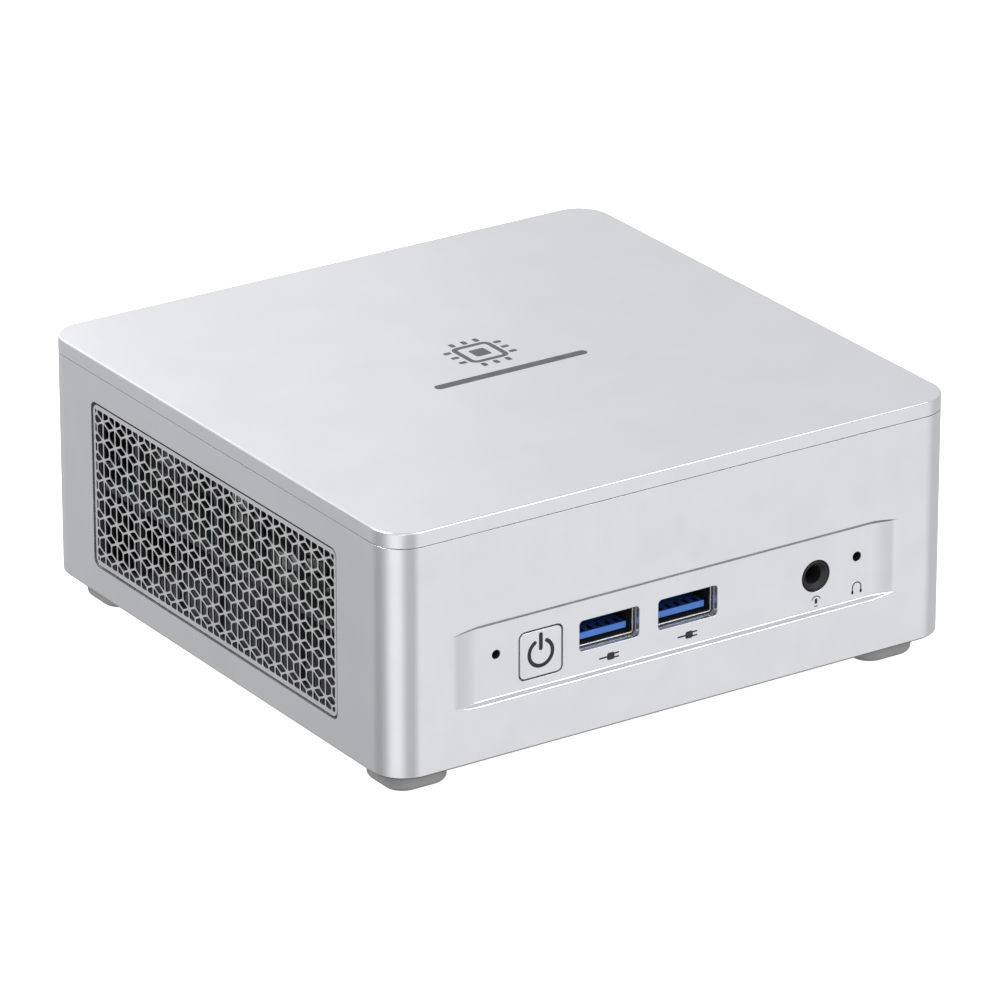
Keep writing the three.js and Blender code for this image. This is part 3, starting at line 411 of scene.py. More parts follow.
def grained(name, dark, light, rough, grain, relief, patch=14.0, **constants):
    """A finish with slow colour patches, uneven gloss and a fine grain."""
    made = Finish(name, **constants)
    made.colour(made.between(made.noise(patch), 0, 1), dark, light)
    made.drive("Roughness", made.between(made.noise(patch / 3, 3), *rough))
    made.bump(made.noise(grain), relief)
    return made.material


def mill_aluminium():
    """Drawn metal, with its grain along X."""
    made = Finish("mill_aluminium", Metallic=0.92)
    grain = made.noise(0.25, 3, (0.04, 1, 1))
    made.colour(made.between(made.noise(12), 0, 1), (0.55, 0.56, 0.57), (0.66, 0.67, 0.68))
    made.drive("Roughness", made.between(grain, 0.3, 0.44))
    made.bump(grain, 0.003)
    return made.material


def solder_mask():
    """A dark green board whose copper tracks show faintly under its lacquer."""
    made = Finish("solder_mask", Coat_Weight=0.35, Coat_Roughness=0.2)
    flat = made.node("ShaderNodeMapping", {"Vector": made.place, "Scale": (1, 1, 0)})
    track_spacing, track_edge, track_middle = 2.2, 0.06, 0.02
    inputs = {"Vector": flat.outputs[0], "Scale": 1 / (track_spacing * MM)}
    cells = made.node("ShaderNodeTexVoronoi", inputs, feature="DISTANCE_TO_EDGE")
    tracks = made.between(cells.outputs["Distance"], 1, 0, track_middle, track_edge)
    made.colour(tracks, (0.004, 0.014, 0.010), (0.011, 0.034, 0.024))
    made.drive("Roughness", made.between(made.noise(5), 0.34, 0.46))
    made.bump(tracks, 0.02)
    return made.material


# Each finish has a darker and a lighter colour, the range of its roughness, and the width and depth of its
# grain. Some state the width of their colour patches too.
FINISHES = {
    "case_silver": grained("satin_silver", (0.755, 0.765, 0.79), (0.78, 0.79, 0.815),
                           (0.22, 0.25), 0.22, 0.0004, Metallic=0.85),
    "grille_silver": grained("vent_silver", (0.68, 0.685, 0.70), (0.73, 0.735, 0.75),
                             (0.28, 0.34), 0.2, 0.002, Metallic=0.8),
    "foot_rubber": grained("foot_rubber", (0.33, 0.333, 0.33), (0.37, 0.373, 0.37),
                           (0.62, 0.74), 0.3, 0.02),
    "screw_black": grained("black_screw", (0.02, 0.02, 0.022), (0.035, 0.035, 0.038),
                           (0.3, 0.4), 0.25, 0.004, 3.0, Metallic=0.8),
    "zinc_steel": grained("zinc_plate", (0.50, 0.505, 0.515), (0.60, 0.605, 0.61),
                          (0.34, 0.46), 0.4, 0.004, 6.0, Metallic=0.92),
    "socket_plating": grained("nickel_plate", (0.62, 0.62, 0.62), (0.70, 0.70, 0.70),
                              (0.2, 0.28), 0.3, 0.002, 5.0, Metallic=0.95),
    "tongue_blue": grained("blue_plastic", (0.05, 0.18, 0.58), (0.065, 0.21, 0.65),
                           (0.30, 0.38), 0.25, 0.004, 4.0),
    "black_plastic": grained("black_plastic", (0.012, 0.012, 0.013), (0.020, 0.020, 0.022),
                             (0.42, 0.54), 0.3, 0.01),
    "board": solder_mask(),
    "chip": grained("chip_epoxy", (0.012, 0.012, 0.013), (0.022, 0.022, 0.024),
                    (0.5, 0.62), 0.12, 0.006, 5.0),
    "copper": grained("satin_copper", (0.58, 0.27, 0.14), (0.68, 0.34, 0.19),
                      (0.28, 0.4), 0.4, 0.004, 8.0, Metallic=0.95),
    "fin_aluminium": mill_aluminium(),
}
# Painted shade: a darker copy of the tongue's blue plastic, for the blade's top, which lies in shade inside
# the can.
BLUE_PAINTED_SHADE = grained("blue_plastic_painted_shade", (0.012, 0.05, 0.27), (0.018, 0.065, 0.32),
                    (0.30, 0.38), 0.25, 0.004, 4.0)
GOLD = grained("gold_contact", (0.78, 0.50, 0.17), (0.88, 0.60, 0.24),
               (0.2, 0.3), 0.3, 0.002, 3.0, Metallic=1.0)
# Painted shade: a dark grey for the case's silver ribs behind the grilles, which lie in shade.
RIB_PAINTED_SHADE = grained("rib_painted_shade", (0.07, 0.07, 0.078), (0.10, 0.10, 0.11), (0.5, 0.6), 0.3, 0.01, Metallic=0.5)
# Painted shade: a near-black that stands in for the shade in the hollows inside the case and the lid, inside
# the sockets, in the pinholes and on the walls of the grille's holes.
PAINTED_SHADE = grained("painted_shade_black", (0.008, 0.008, 0.009), (0.014, 0.014, 0.015), (0.55, 0.65), 0.5, 0.01)
ICON_INK = grained("icon_ink", (0.012, 0.012, 0.014), (0.022, 0.022, 0.026),
                   (0.42, 0.52), 0.15, 0.002, 2.0)
LID_INK = grained("lid_ink", (0.055, 0.058, 0.062), (0.075, 0.078, 0.083),
                  (0.42, 0.52), 0.15, 0.002, 2.0)
LAMP = grained("lamp_plastic", (0.50, 0.52, 0.42), (0.58, 0.60, 0.50),
               (0.25, 0.32), 0.3, 0.004, 2.0, Transmission_Weight=0.3)
CERAMIC = grained("chip_ceramic", (0.30, 0.22, 0.15), (0.42, 0.33, 0.24), (0.4, 0.5), 0.2, 0.004, 2.0)
LABEL = grained("plain_label", (0.50, 0.51, 0.52), (0.56, 0.57, 0.58), (0.45, 0.55), 0.3, 0.003, 6.0)

# ---------------------------------------------------------------- the case's own sizes

CORNER_RADIUS = 7.0
WALL = 2.4
SEAM = {"gap": 0.11, "edge": 0.05}
shell_low, shell_high = span("main_shell")
lid_high = span("top_lid")[1]
plate_low, plate_high = span("bottom_cover")
seam_middle = shell_high.z + GAP / 2
shell_top = seam_middle - SEAM["gap"] / 2
lid_base = seam_middle + SEAM["gap"] / 2
front, rear = shell_low.y, shell_high.y
recess_face = span("power_button")[0].y
inner_low = plate_low - Vector((GAP, GAP, 0))
inner_high = plate_high + Vector((GAP, GAP, 0))
inner_centre = (0, (inner_low.y + inner_high.y) / 2)
case_outline = rounded_rect(size("main_shell").x, size("main_shell").y, CORNER_RADIUS, 16)
inner_outline = rounded_rect(inner_high.x - inner_low.x, inner_high.y - inner_low.y, CORNER_RADIUS - WALL, 8)

# ---------------------------------------------------------------- front panel

RECESS = {"end": 51.0, "flat": 45.6, "low": 17.0, "high": 32.2, "fall": 0.6, "rise": 0.8}
RECESS_EDGE = {"lip": 0.32, "foot": 0.30, "upper": 0.14, "margin": 0.8, "steps": 5}
SCOOP = {"stations": 14, "softness": 0.1, "beyond": 1.4, "shallowest": 0.02, "power": 1.35}
SKIN_DEPTH = 0.004


def scoop_depth(x):
    """How deep the recess is at a place along the front: flat, then rising ever faster to its ends."""
    run = RECESS["end"] - RECESS["flat"]
    beyond = max(0.0, abs(x) - RECESS["flat"])
    rise = (recess_face - front) * (1 - (beyond / run) ** SCOOP["power"])
    softness = SCOOP["softness"]
    return (rise + math.sqrt(rise ** 2 + softness ** 2)) / 2 - softness / 12


def recess_section(x):
    """The recess's section at a place along the front, from its lower lip to its upper one."""
    depth = scoop_depth(x)
    shallow = max(depth, SCOOP["shallowest"])
    low, high = RECESS["low"], RECESS["high"]
    low_lip, high_lip = low - RECESS["fall"] * shallow, high + RECESS["rise"] * shallow
    outer, face, floor = front - OVERSHOOT, front - SKIN_DEPTH, front + depth
    margin = RECESS_EDGE["margin"]
    path = [Vector(point) for point in (
        (outer, low_lip - margin), (face, low_lip - margin), (face, low_lip), (floor, low),
        (floor, high), (face, high_lip), (face, high_lip + margin), (outer, high_lip + margin))]
    section = path[:2]
    for i, edge in ((2, "lip"), (3, "foot"), (4, "upper"), (5, "upper")):
        section += turn_corner(path[i - 1], path[i], path[i + 1], RECESS_EDGE[edge], RECESS_EDGE["steps"])
    return [(x, y, z) for y, z in section + path[6:]]


def front_recess():
    run = RECESS["end"] + SCOOP["beyond"] - RECESS["flat"]
    ends = [RECESS["flat"] + run * i / SCOOP["stations"] for i in range(SCOOP["stations"] + 1)]
    return loft([recess_section(x) for x in [-end for end in reversed(ends)] + ends])


FRONT_USB = ("usb_front_left_shell", "usb_front_right_shell")
USB_CUTOUT = rounded_rect(13.65, 6.23, 0.8)
PINHOLES = [(-41.1, 25.8, 0.88), (42.7, 26.0, 0.95)]
JACK = {"hole": 3.25, "barrel": 2.98, "rim": 0.3, "bore": 1.85, "funnel": 0.8, "barrel_length": 2.3,
        "bore_length": 13.0, "level": 3.3, "contact": (6.5, 9.0), "contact_wall": 0.2}
MOUTH_EDGE = 0.13
BUTTON = {"size": 9.45, "radius": 1.1, "gap": 0.26, "edge": 0.12, "flange": 11.4, "stem": 1.6}
button_outline = rounded_rect(BUTTON["size"], BUTTON["size"], BUTTON["radius"], 6)
button_centre = (middle("power_button").x, middle("power_button").z)
jack_centre = (middle("audio_jack").x, span("audio_jack")[0].z + JACK["level"])


def front_holes():
    """The openings in the recess floor."""
    outlines = [(USB_CUTOUT, (middle(node).x, middle(node).z)) for node in FRONT_USB]
    outlines += [(circle(radius, 24), (x, z)) for x, z, radius in PINHOLES]
    outlines.append((circle(JACK["hole"], 48), jack_centre))
    outlines.append((grow(button_outline, BUTTON["gap"]), button_centre))
    profile = flared(recess_face, inner_low.y + OVERSHOOT, MOUTH_EDGE)
    return together([block(outline, "y", profile, centre) for outline, centre in outlines])


# ---------------------------------------------------------------- shell

VENT = {"corner": 1.6, "border": 1.6, "depth": 1.15, "rib": 1.1, "pitch": 14.8, "ribs": 5, "edge": 0.06}
vent_size = size("grille_left")
vent_centre = (middle("grille_left").y, middle("grille_left").z)


def vent_pockets():
    """The pocket for each side grille, and the windows between the ribs behind it."""
    pockets, windows = [], []
    outline = rounded_rect(vent_size.y + 2 * GAP, vent_size.z + 2 * GAP, VENT["corner"])
    reach_y = vent_size.y / 2 + GAP - VENT["border"]
    reach_z = vent_size.z / 2 + GAP - VENT["border"]
    half_rib = VENT["rib"] / 2
    uprights = spread(VENT["ribs"], VENT["pitch"])
    edges = [-reach_y] + [y + side * half_rib for y in uprights for side in (-1, 1)] + [reach_y]
    for side in (-1, 1):
        face = side * shell_high.x
        floor = face - side * VENT["depth"]
        pockets.append(block(outline, "x", flared(face, floor, VENT["edge"]), vent_centre))
        profile = [(0, floor + side * GAP), (0, side * (inner_high.x - OVERSHOOT))]
        for start, end in zip(edges[::2], edges[1::2]):
            for level in (-1, 1):
                window = rounded_rect(end - start, reach_z - half_rib, 0.5, 3)
                centre = (vent_centre[0] + (start + end) / 2,
                          vent_centre[1] + level * (reach_z + half_rib) / 2)
                windows.append(block(window, "x", profile, centre))
    return together(pockets), together(windows)


REAR_OPENING = {"centre": (0, 21.2), "outline": rounded_rect(110, 15.6, 1.5)}
REAR_SLOTS = {"count": 15, "pitch": 5.6, "width": 3.0, "bottom": 34.5, "top": 46.5}
REAR_EDGE = 0.25


def rear_holes():
    """The socket opening and the outlet slots in the rear wall."""
    profile = flared(rear, inner_high.y - OVERSHOOT, REAR_EDGE)
    holes = [block(REAR_OPENING["outline"], "y", profile, REAR_OPENING["centre"])]
    bottom, top, width = REAR_SLOTS["bottom"], REAR_SLOTS["top"], REAR_SLOTS["width"]
    slot = rounded_rect(width, top - bottom, width / 2, 8)
    for x in spread(REAR_SLOTS["count"], REAR_SLOTS["pitch"]):
        holes.append(block(slot, "y", profile, (x, (top + bottom) / 2)))
    return together(holes)


POST = {"board_radius": 4.2, "board_bottom": 15.0, "board_top": 27.7, "foot_radius": 4.1, "foot_top": 11.8,
        "edge": 0.4}


def posts():
    """The round posts that the board and the base plate are screwed to."""
    board_profile = rolled(POST["board_bottom"], POST["board_top"], first=POST["edge"])
    foot_profile = rolled(plate_high.z + GAP, POST["foot_top"], last=POST["edge"])
    made = []
    for i in range(1, 5):
        for kind, radius, profile in (("board", POST["board_radius"], board_profile),
                                      ("case", POST["foot_radius"], foot_profile)):
            centre = middle(f"{kind}_screw_{i}")
            made.append(block(circle(radius, 24), "z", profile, (centre.x, centre.y)))
    return together(made)


SHELL_BOTTOM_EDGE = 0.45


def main_shell():
    piece = solid(block(case_outline, "z", rolled(shell_low.z, shell_top, SHELL_BOTTOM_EDGE, SEAM["edge"])))
    hollow = solid(block(inner_outline, "z", [(0, shell_low.z - OVERSHOOT), (0, shell_top + OVERSHOOT)],
                         inner_centre))
    carve(piece, carve(hollow, posts()))
    pockets, windows = vent_pockets()
    carve(piece, front_recess(), front_holes(), pockets, windows, rear_holes())
    give_materials(piece, FINISHES["case_silver"], PAINTED_SHADE, RIB_PAINTED_SHADE)
    paint_shell(piece)
    stand_for(piece, "main_shell")


def paint_shell(piece):
    """Paints shade: near-black on the inside and in the pinholes, and a dark grey on the ribs behind the
    grilles.
    """
    slack = 0.05
    bottom = plate_low.z + OVERSHOOT
    paint(piece, 1, (inner_low.x - slack, inner_low.y - slack, bottom),
          (inner_high.x + slack, inner_high.y + slack, shell_top - slack))
    grille_low, grille_high = span("grille_left")
    for side in (-1, 1):
        behind = sorted((side * (shell_high.x - VENT["depth"] + slack), side * (inner_high.x - slack)))
        paint(piece, 2, (behind[0], grille_low.y, grille_low.z), (behind[1], grille_high.y, grille_high.z))
    for x, z, radius in PINHOLES:
        paint(piece, 1, (x - radius, recess_face + MOUTH_EDGE + slack, z - radius),
              (x + radius, inner_low.y + slack, z + radius))


# ---------------------------------------------------------------- side grilles

LATTICE = {"pitch_y": 4.52, "pitch_z": 4.067, "tip": 1.12, "bar": 0.46, "shift": 0.23, "columns": 11,
           "rows": 5, "half_width": 43.85, "half_height": 16.2, "corner": 0.35, "smallest": 0.35}
SHEET = {"thickness": 0.3, "edge": 0.04, "inset": 0.15}


def clip(outline, origin, inward):
    """The part of a convex outline on the inner side of a line."""
    depths = [(point - origin).dot(inward) for point in outline]
    kept = []
    for i, depth in enumerate(depths):
        after = (i + 1) % len(outline)
        if depth > 0:
            kept.append(outline[i])
        if depth * depths[after] < 0:
            kept.append(outline[i].lerp(outline[after], depth / (depth - depths[after])))
    return kept


def area(outline):
    return sum(here.cross(after) for before, here, after in corners(outline)) / 2


def lattice_cells():
    """Rhombs in rows, with two four-sided cells over each of them."""
    half, rise, tip = LATTICE["pitch_y"] / 2, LATTICE["pitch_z"], LATTICE["tip"]
    for row in range(-LATTICE["rows"], LATTICE["rows"]):
        for column in range(-LATTICE["columns"], LATTICE["columns"]):
            y, z = column * LATTICE["pitch_y"] + half + LATTICE["shift"], (row + 0.5) * rise
            yield [(y - half, z), (y, z - tip), (y + half, z), (y, z + tip)]
            for side in (-1, 1):
                cell = [(y + side * half, z), (y, z + tip), (y, z + rise - tip), (y + side * half, z + rise)]
                yield cell[::-side]


def lattice_holes():
    """The lattice's cells, trimmed to the window, drawn in by half a bar and softened."""
    half_bar = LATTICE["bar"] / 2
    window = [Vector((LATTICE["half_width"] + half_bar, 0)), Vector((0, LATTICE["half_height"] + half_bar))]
    shortest = 0.01
    holes = []
    for cell in lattice_cells():
        outline = [Vector(point) for point in cell]
        for reach in window:
            for side in (-1, 1):
                outline = clip(outline, side * reach, -side * reach.normalized())
        sides = [(here, after) for before, here, after in corners(outline)]
        for here, after in sides:
            if (after - here).length <= shortest:
                continue
            along = (after - here).normalized()
            inward = Vector((-along.y, along.x))
            outline = clip(outline, here + inward * half_bar, inward)
        if len(outline) > 2 and area(outline) > LATTICE["smallest"]:
            holes.append(soften(outline, LATTICE["corner"]))
    return holes


def pierced_sheet(outlines, thickness, edge):
    """A sheet across Z with holes, its edges chamfered, made from one filled curve."""
    curve = bpy.data.curves.new("sheet", "CURVE")
    curve.dimensions = "2D"
    curve.fill_mode = "BOTH"
    curve.extrude = thickness / 2 - edge
    curve.bevel_depth = edge
    curve.bevel_resolution = 0
    curve.offset = -edge
    for outline in outlines:
        spline = curve.splines.new("POLY")
        spline.points.add(len(outline) - 1)
        for point, (a, b) in zip(spline.points, outline):
            point.co = (a, b, 0, 1)
        spline.use_cyclic_u = True
    maker = link(curve)
    graph = bpy.context.evaluated_depsgraph_get()
    mesh = bpy.data.meshes.new_from_object(maker.evaluated_get(graph))
    bpy.data.objects.remove(maker)
    merge_distance = 0.001
    form = bmesh.new()
    form.from_mesh(mesh)
    bmesh.ops.remove_doubles(form, verts=form.verts, dist=merge_distance)
    form.to_mesh(mesh)
    form.free()
    return link(mesh)


WALL_SLOPE = 0.8  # a face that leans less than this from upright is the wall of a hole


def side_grilles():
    """A thin pierced sheet, the walls of its holes painted black as shade, flush with the outside of the CAD
    one.
    """
    outer = rounded_rect(vent_size.y - 2 * SHEET["inset"], vent_size.z - 2 * SHEET["inset"], VENT["corner"])
    upright = Matrix(((0, 0, 1, 0), (1, 0, 0, 0), (0, 1, 0, 0), (0, 0, 0, 1)))
    for node, side in (("grille_left", -1), ("grille_right", 1)):
        piece = pierced_sheet([outer, *lattice_holes()], SHEET["thickness"], SHEET["edge"])
        give_materials(piece, FINISHES["grille_silver"], PAINTED_SHADE)
        # Painted shade: faces steeper than the wall slope, the walls of the holes, get the near-black.
        for face in piece.data.polygons:
            face.material_index = int(abs(face.normal.z) < WALL_SLOPE)
        place = middle(node)
        place.x += side * (vent_size.x - SHEET["thickness"]) / 2
        stand_for(settle(piece, Matrix.Translation(place) @ upright), node)


# ---------------------------------------------------------------- lid and its sign

LID = {"top_edge": 0.38, "plate": 1.6, "skirt_wall": 1.2, "skirt_drop": 1.3, "skirt_edge": 0.2,
       "overlap": 0.5}
SIGN = {"depth": 0.08, "inset": 0.012, "centre": (0.3, 5.9), "ring": 9.0, "radius": 1.7, "line": 1.15,
        "core": 3.6, "size": 13.4, "pin_pitch": 2.8, "bar": (35.5, 2.2), "bar_centre": (0.3, -5.2)}


def sign_outlines():
    """A chip's pins and core, over a plain bar."""
    centre, line = SIGN["centre"], SIGN["line"]
    length = (SIGN["size"] - SIGN["ring"]) / 2 - 0.5
    reach = (SIGN["size"] + SIGN["ring"]) / 4 + 0.25
    outlines = [rounded_rect(SIGN["core"], SIGN["core"], 0.6, centre=centre)]
    for offset in (-SIGN["pin_pitch"], 0, SIGN["pin_pitch"]):
        for side in (-1, 1):
            upright_place = (centre[0] + offset, centre[1] + side * reach)
            level_place = (centre[0] + side * reach, centre[1] + offset)
            outlines.append(rounded_rect(line, length, 0.3, 3, upright_place))
            outlines.append(rounded_rect(length, line, 0.3, 3, level_place))
    width, height = SIGN["bar"]
    outlines.append(rounded_rect(width, height, height / 2, 6, SIGN["bar_centre"]))
    return outlines


def sign_skin(bottom, top, inset=0.0):
    """The sign's shapes as one skin, drawn in by an inset."""
    ring = rounded_rect(SIGN["ring"], SIGN["ring"], SIGN["radius"], centre=SIGN["centre"])
    shapes = [block(outline, "z", [(-inset, bottom), (-inset, top)]) for outline in sign_outlines()]
    shapes.append(pipe(grow(ring, -inset), SIGN["line"] - 2 * inset, "z", bottom, top))
    return together(shapes)


def top_lid():
    top = lid_high.z
    low = lid_base - LID["skirt_drop"]
    piece = solid(block(case_outline, "z", rolled(lid_base, top, SEAM["edge"], LID["top_edge"], 4)))
    weld(piece, block(grow(inner_outline, -GAP), "z", rolled(low, lid_base + LID["overlap"],
                                                             first=LID["skirt_edge"]), inner_centre))
    pan = block(grow(inner_outline, -GAP - LID["skirt_wall"]), "z",
                [(0, low - OVERSHOOT), (0, top - LID["plate"])], inner_centre)
    carve(piece, pan, sign_skin(top - SIGN["depth"], top + OVERSHOOT))
    give_materials(piece, FINISHES["case_silver"], PAINTED_SHADE)
    # Painted shade: the lid's underside and the inner side of its skirt are painted near-black.
    paint(piece, 1, (inner_low.x, inner_low.y, low - OVERSHOOT),
          (inner_high.x, inner_high.y, top - LID["plate"] / 2))
    stand_for(piece, "top_lid")
    inset = SIGN["inset"]
    sign = sign_skin(top - SIGN["depth"] + inset, top - inset, inset)
    add_on(sign, "lid_sign", "screw_black", LID_INK, "lid")


# ---------------------------------------------------------------- base plate, feet and screws

INTAKE = {"reach": 27.0, "pitch": 4.8, "width": 2.6, "count": 11}
PLATE_EDGE = 0.25
SCREW_SEAT = {"radius": 3.0, "depth": 0.9, "edge": 0.15}
FOOT = {"corner": 4.3, "roll": 1.2, "overlap": 0.1}


def bottom_cover():
    """The base plate, with the blower's round field of slots and a seat for each screw."""
    profile = rolled(plate_low.z, plate_high.z, PLATE_EDGE)
    outer = block(grow(inner_outline, -GAP), "z", profile, inner_centre)
    centre = middle("blower_impeller")
    width = INTAKE["width"]
    slot_profile = flared(plate_low.z, plate_high.z + OVERSHOOT, PLATE_EDGE)
    holes = []
    for y in spread(INTAKE["count"], INTAKE["pitch"]):
        slot = rounded_rect(2 * math.sqrt(INTAKE["reach"] ** 2 - y ** 2), width, width / 2, 8)
        holes.append(block(slot, "z", slot_profile, (centre.x, centre.y + y)))
    seat_profile = flared(plate_low.z, plate_low.z + SCREW_SEAT["depth"], SCREW_SEAT["edge"])
    for i in range(1, 5):
        seat = middle(f"case_screw_{i}")
        holes.append(block(circle(SCREW_SEAT["radius"]), "z", seat_profile, (seat.x, seat.y)))
    stand_for(carve(solid(outer), together(holes)), "bottom_cover")


def feet():
    """Rubber feet, rolled at their lower edge, that meet the base."""
    for node in (f"foot_{end}_{side}" for end in ("front", "rear") for side in ("left", "right")):
        low, high = span(node)
        outline = rounded_rect(high.x - low.x, high.y - low.y, FOOT["corner"], 10)
        profile = rolled(low.z, shell_low.z + FOOT["overlap"], first=FOOT["roll"], steps=6)
        stand_for(block(outline, "z", profile, (middle(node).x, middle(node).y)), node)


SCREW = {"shank": 1.15, "tip": 0.4, "dome": 0.45, "cross": 1.5, "cross_half_width": 0.32, "cross_depth": 0.5}


def screw(node, head_radius, head_height, head_down):
    """A cross-head screw, its domed head at the lower or the upper end."""
    low, high = span(node)
    centre = (middle(node).x, middle(node).y)
    start, end = (low.z, high.z) if head_down else (high.z, low.z)
    way = 1 if head_down else -1
    head = rolled(start, start + way * head_height, first=SCREW["dome"] * head_height)
    shank = rolled(start + way * head_height / 2, end, last=SCREW["tip"])
    piece = weld(solid(block(circle(head_radius, 40), "z", head, centre)),
                 block(circle(SCREW["shank"], 24), "z", shank, centre))
    level = sorted((start - way, start + way * SCREW["cross_depth"]))
    arms = (SCREW["cross"], SCREW["cross_half_width"])
    cross = [box(*((c - r, c + r) for c, r in zip(centre, reach)), level) for reach in (arms, arms[::-1])]
    stand_for(carve(piece, *cross), node)


def screws():
    for i in range(1, 5):
        screw(f"case_screw_{i}", 2.6, 0.6, True)
        screw(f"board_screw_{i}", 2.7, 1.2, False)


# ---------------------------------------------------------------- power button and printed signs

PRINT = 0.02
POWER_SIGN = {"radius": 2.65, "stroke": 0.8, "gap": math.radians(30), "bar": (0.85, 3.7), "bar_level": 2.35}


def print_on(outlines, name, centre, body="chassis"):
    """Flat printed shapes on the recess floor or on the button, which lies level with it."""
    profile = [(0, recess_face), (0, recess_face - PRINT)]
    shapes = [block(outline, "y", profile, centre) for outline in outlines]
    add_on(together(shapes), name, "black_plastic", ICON_INK, body)


def power_button():
    """The button's cap, its hidden flange and its stem, with the power sign."""
    low, high = span("power_button")
    cap_end, flange_start, flange_end, stem_start = (low.y + depth for depth in (2.4, 2.3, 3.1, 2.9))
    piece = solid(block(button_outline, "y", rolled(low.y, cap_end, first=BUTTON["edge"]), button_centre))
    flange = rounded_rect(BUTTON["flange"], BUTTON["flange"], BUTTON["radius"])
    weld(piece, block(flange, "y", [(0, flange_start), (0, flange_end)], button_centre),
         block(circle(BUTTON["stem"], 24), "y", [(0, stem_start), (0, high.y)], button_centre))
    stand_for(piece, "power_button")
    top = math.pi / 2
    ring = arc_stroke(POWER_SIGN["radius"], POWER_SIGN["stroke"], top + POWER_SIGN["gap"],
                      top + 2 * math.pi - POWER_SIGN["gap"], 48)
    width, height = POWER_SIGN["bar"]
    bar = rounded_rect(width, height, width / 2, 6, (0, POWER_SIGN["bar_level"]))
    print_on([ring, bar], "power_sign", button_centre, "button")


def plug_sign():
    """A generic plug: its body, its two prongs and its lead."""
    prongs = [rounded_rect(1.1, 0.32, 0.1, 2, (1.5, side * 0.4)) for side in (-1, 1)]
    return [rounded_rect(1.7, 1.5, 0.35, 3, (0.15, 0)), rounded_rect(1.9, 0.34, 0.1, 2, (-1.6, 0)), *prongs]


def microphone_sign():
    """A capsule under an arch, on a foot."""
    return [rounded_rect(0.62, 1.15, 0.31, 5), arc_stroke(1.05, 0.2, 0.12 * math.pi, 0.88 * math.pi, 12),
            rounded_rect(0.8, 0.2, 0.08, 2, (0, -1.05))]


def headphone_sign():
    """A tall arch with a pad at each end."""
    radius, stroke, drop = 1.0, 0.24, 1.2
    legs = [rounded_rect(stroke, drop, 0.1, 2, (side * radius, -drop / 2)) for side in (-1, 1)]
    pads = [rounded_rect(0.5, 0.75, 0.2, 3, (side * radius, -drop + 0.2)) for side in (-1, 1)]
    return [arc_stroke(radius, stroke, 0, math.pi, 20), *legs, *pads]


def front_signs():
    for side, node in zip(("left", "right"), FRONT_USB):
        print_on(plug_sign(), f"usb_sign_{side}", (middle(node).x + 0.2, 19.1))
    print_on(microphone_sign(), "microphone_sign", (33.1, 18.9))
    print_on(headphone_sign(), "headphone_sign", (42.8, 19.6))


# ---------------------------------------------------------------- sockets

# Each socket is modelled with the middle of its mouth at the origin, facing -Y.

def mouth_of(node, facing_rear=True, level=None):
    """The placement of a socket's mouth."""
    low, high = span(node)
    centre = middle(node)
    height = centre.z if level is None else level
    place = Vector((centre.x, high.y if facing_rear else low.y, height))
    return Matrix.Translation(place) @ Matrix.Rotation(math.pi if facing_rear else 0, 4, "Z")


USB = {"sheet": 0.3, "radius": 0.6, "edge": 0.1, "lip": 0.2, "depth": 14.0}
BLADE = {"half": 5.55, "bottom": -1.88, "top": -0.55, "start": 0.9, "root": 11.4, "edge": 0.12}
CHANNELS = {"count": 5, "pitch": 2.05, "half": 0.5, "start": 1.4, "end": 3.6, "depth": 0.6}
CONTACTS = {"places": (-3.5, -1.0, 1.0, 3.5), "half": 0.45, "start": 1.6, "end": 10.2, "proud": 0.12,
            "sunk": 0.2}
BLADE_ROOT = {"width": 11.8, "height": 4.4, "radius": 0.2, "overlap": 0.2, "edge": 0.1}
# A leaf's bends, from the mouth inward: how far in each lies, and how far it stands off the can's wall.
LEAF = {"places": (-3.2, 3.2), "half": 0.9, "sheet": 0.2,
        "bends": [(3.6, -0.1), (6.0, 0.42), (7.4, 0.45), (8.6, -0.1)]}
HAIR = 0.01  # keeps a face that is painted, or that lies on another, clear of the box or face beside it


def socket_body(node, radius, edge):
    """A block of the size of a CAD socket, its mouth's edge rounded."""
    outline = rounded_rect(size(node).x, size(node).z, radius)
    return solid(block(outline, "y", rolled(0, size(node).y, first=edge)))


def strips(places, half, y, z):
    """A row of flat bars that run inward, one at each place across."""
    return together([box((x - half, x + half), y, z) for x in places])


def usb_can(node):
    """The plated shell of a USB socket, and its spring leaves."""
    outer = rounded_rect(size(node).x, size(node).z, USB["radius"])
    piece = solid(block(outer, "y", rolled(0, USB["depth"], first=USB["edge"])))
    carve(piece, block(grow(outer, -USB["sheet"]), "y", flared(0, USB["depth"] - USB["sheet"], USB["lip"])))
    give_materials(piece, FINISHES["socket_plating"], PAINTED_SHADE)
    half = size(node).x / 2 - USB["sheet"]
    inside = size(node).z / 2 - USB["sheet"]
    # Painted shade: the inside of the can, behind its lip, is painted near-black.
    paint(piece, 1, (-half - HAIR, USB["lip"], -inside - HAIR), (half + HAIR, USB["depth"], inside + HAIR))
    leaf = [(y, inside - off) for y, off in LEAF["bends"]]
    outline = leaf + [(y, z + LEAF["sheet"]) for y, z in reversed(leaf)]
    leaves = []
    for x in LEAF["places"]:
        for side in (-1, 1):
            edges = (x - LEAF["half"], x + LEAF["half"])
            leaves.append(loft([[(edge, y, side * z) for y, z in outline] for edge in edges]))
    return piece, together(leaves)


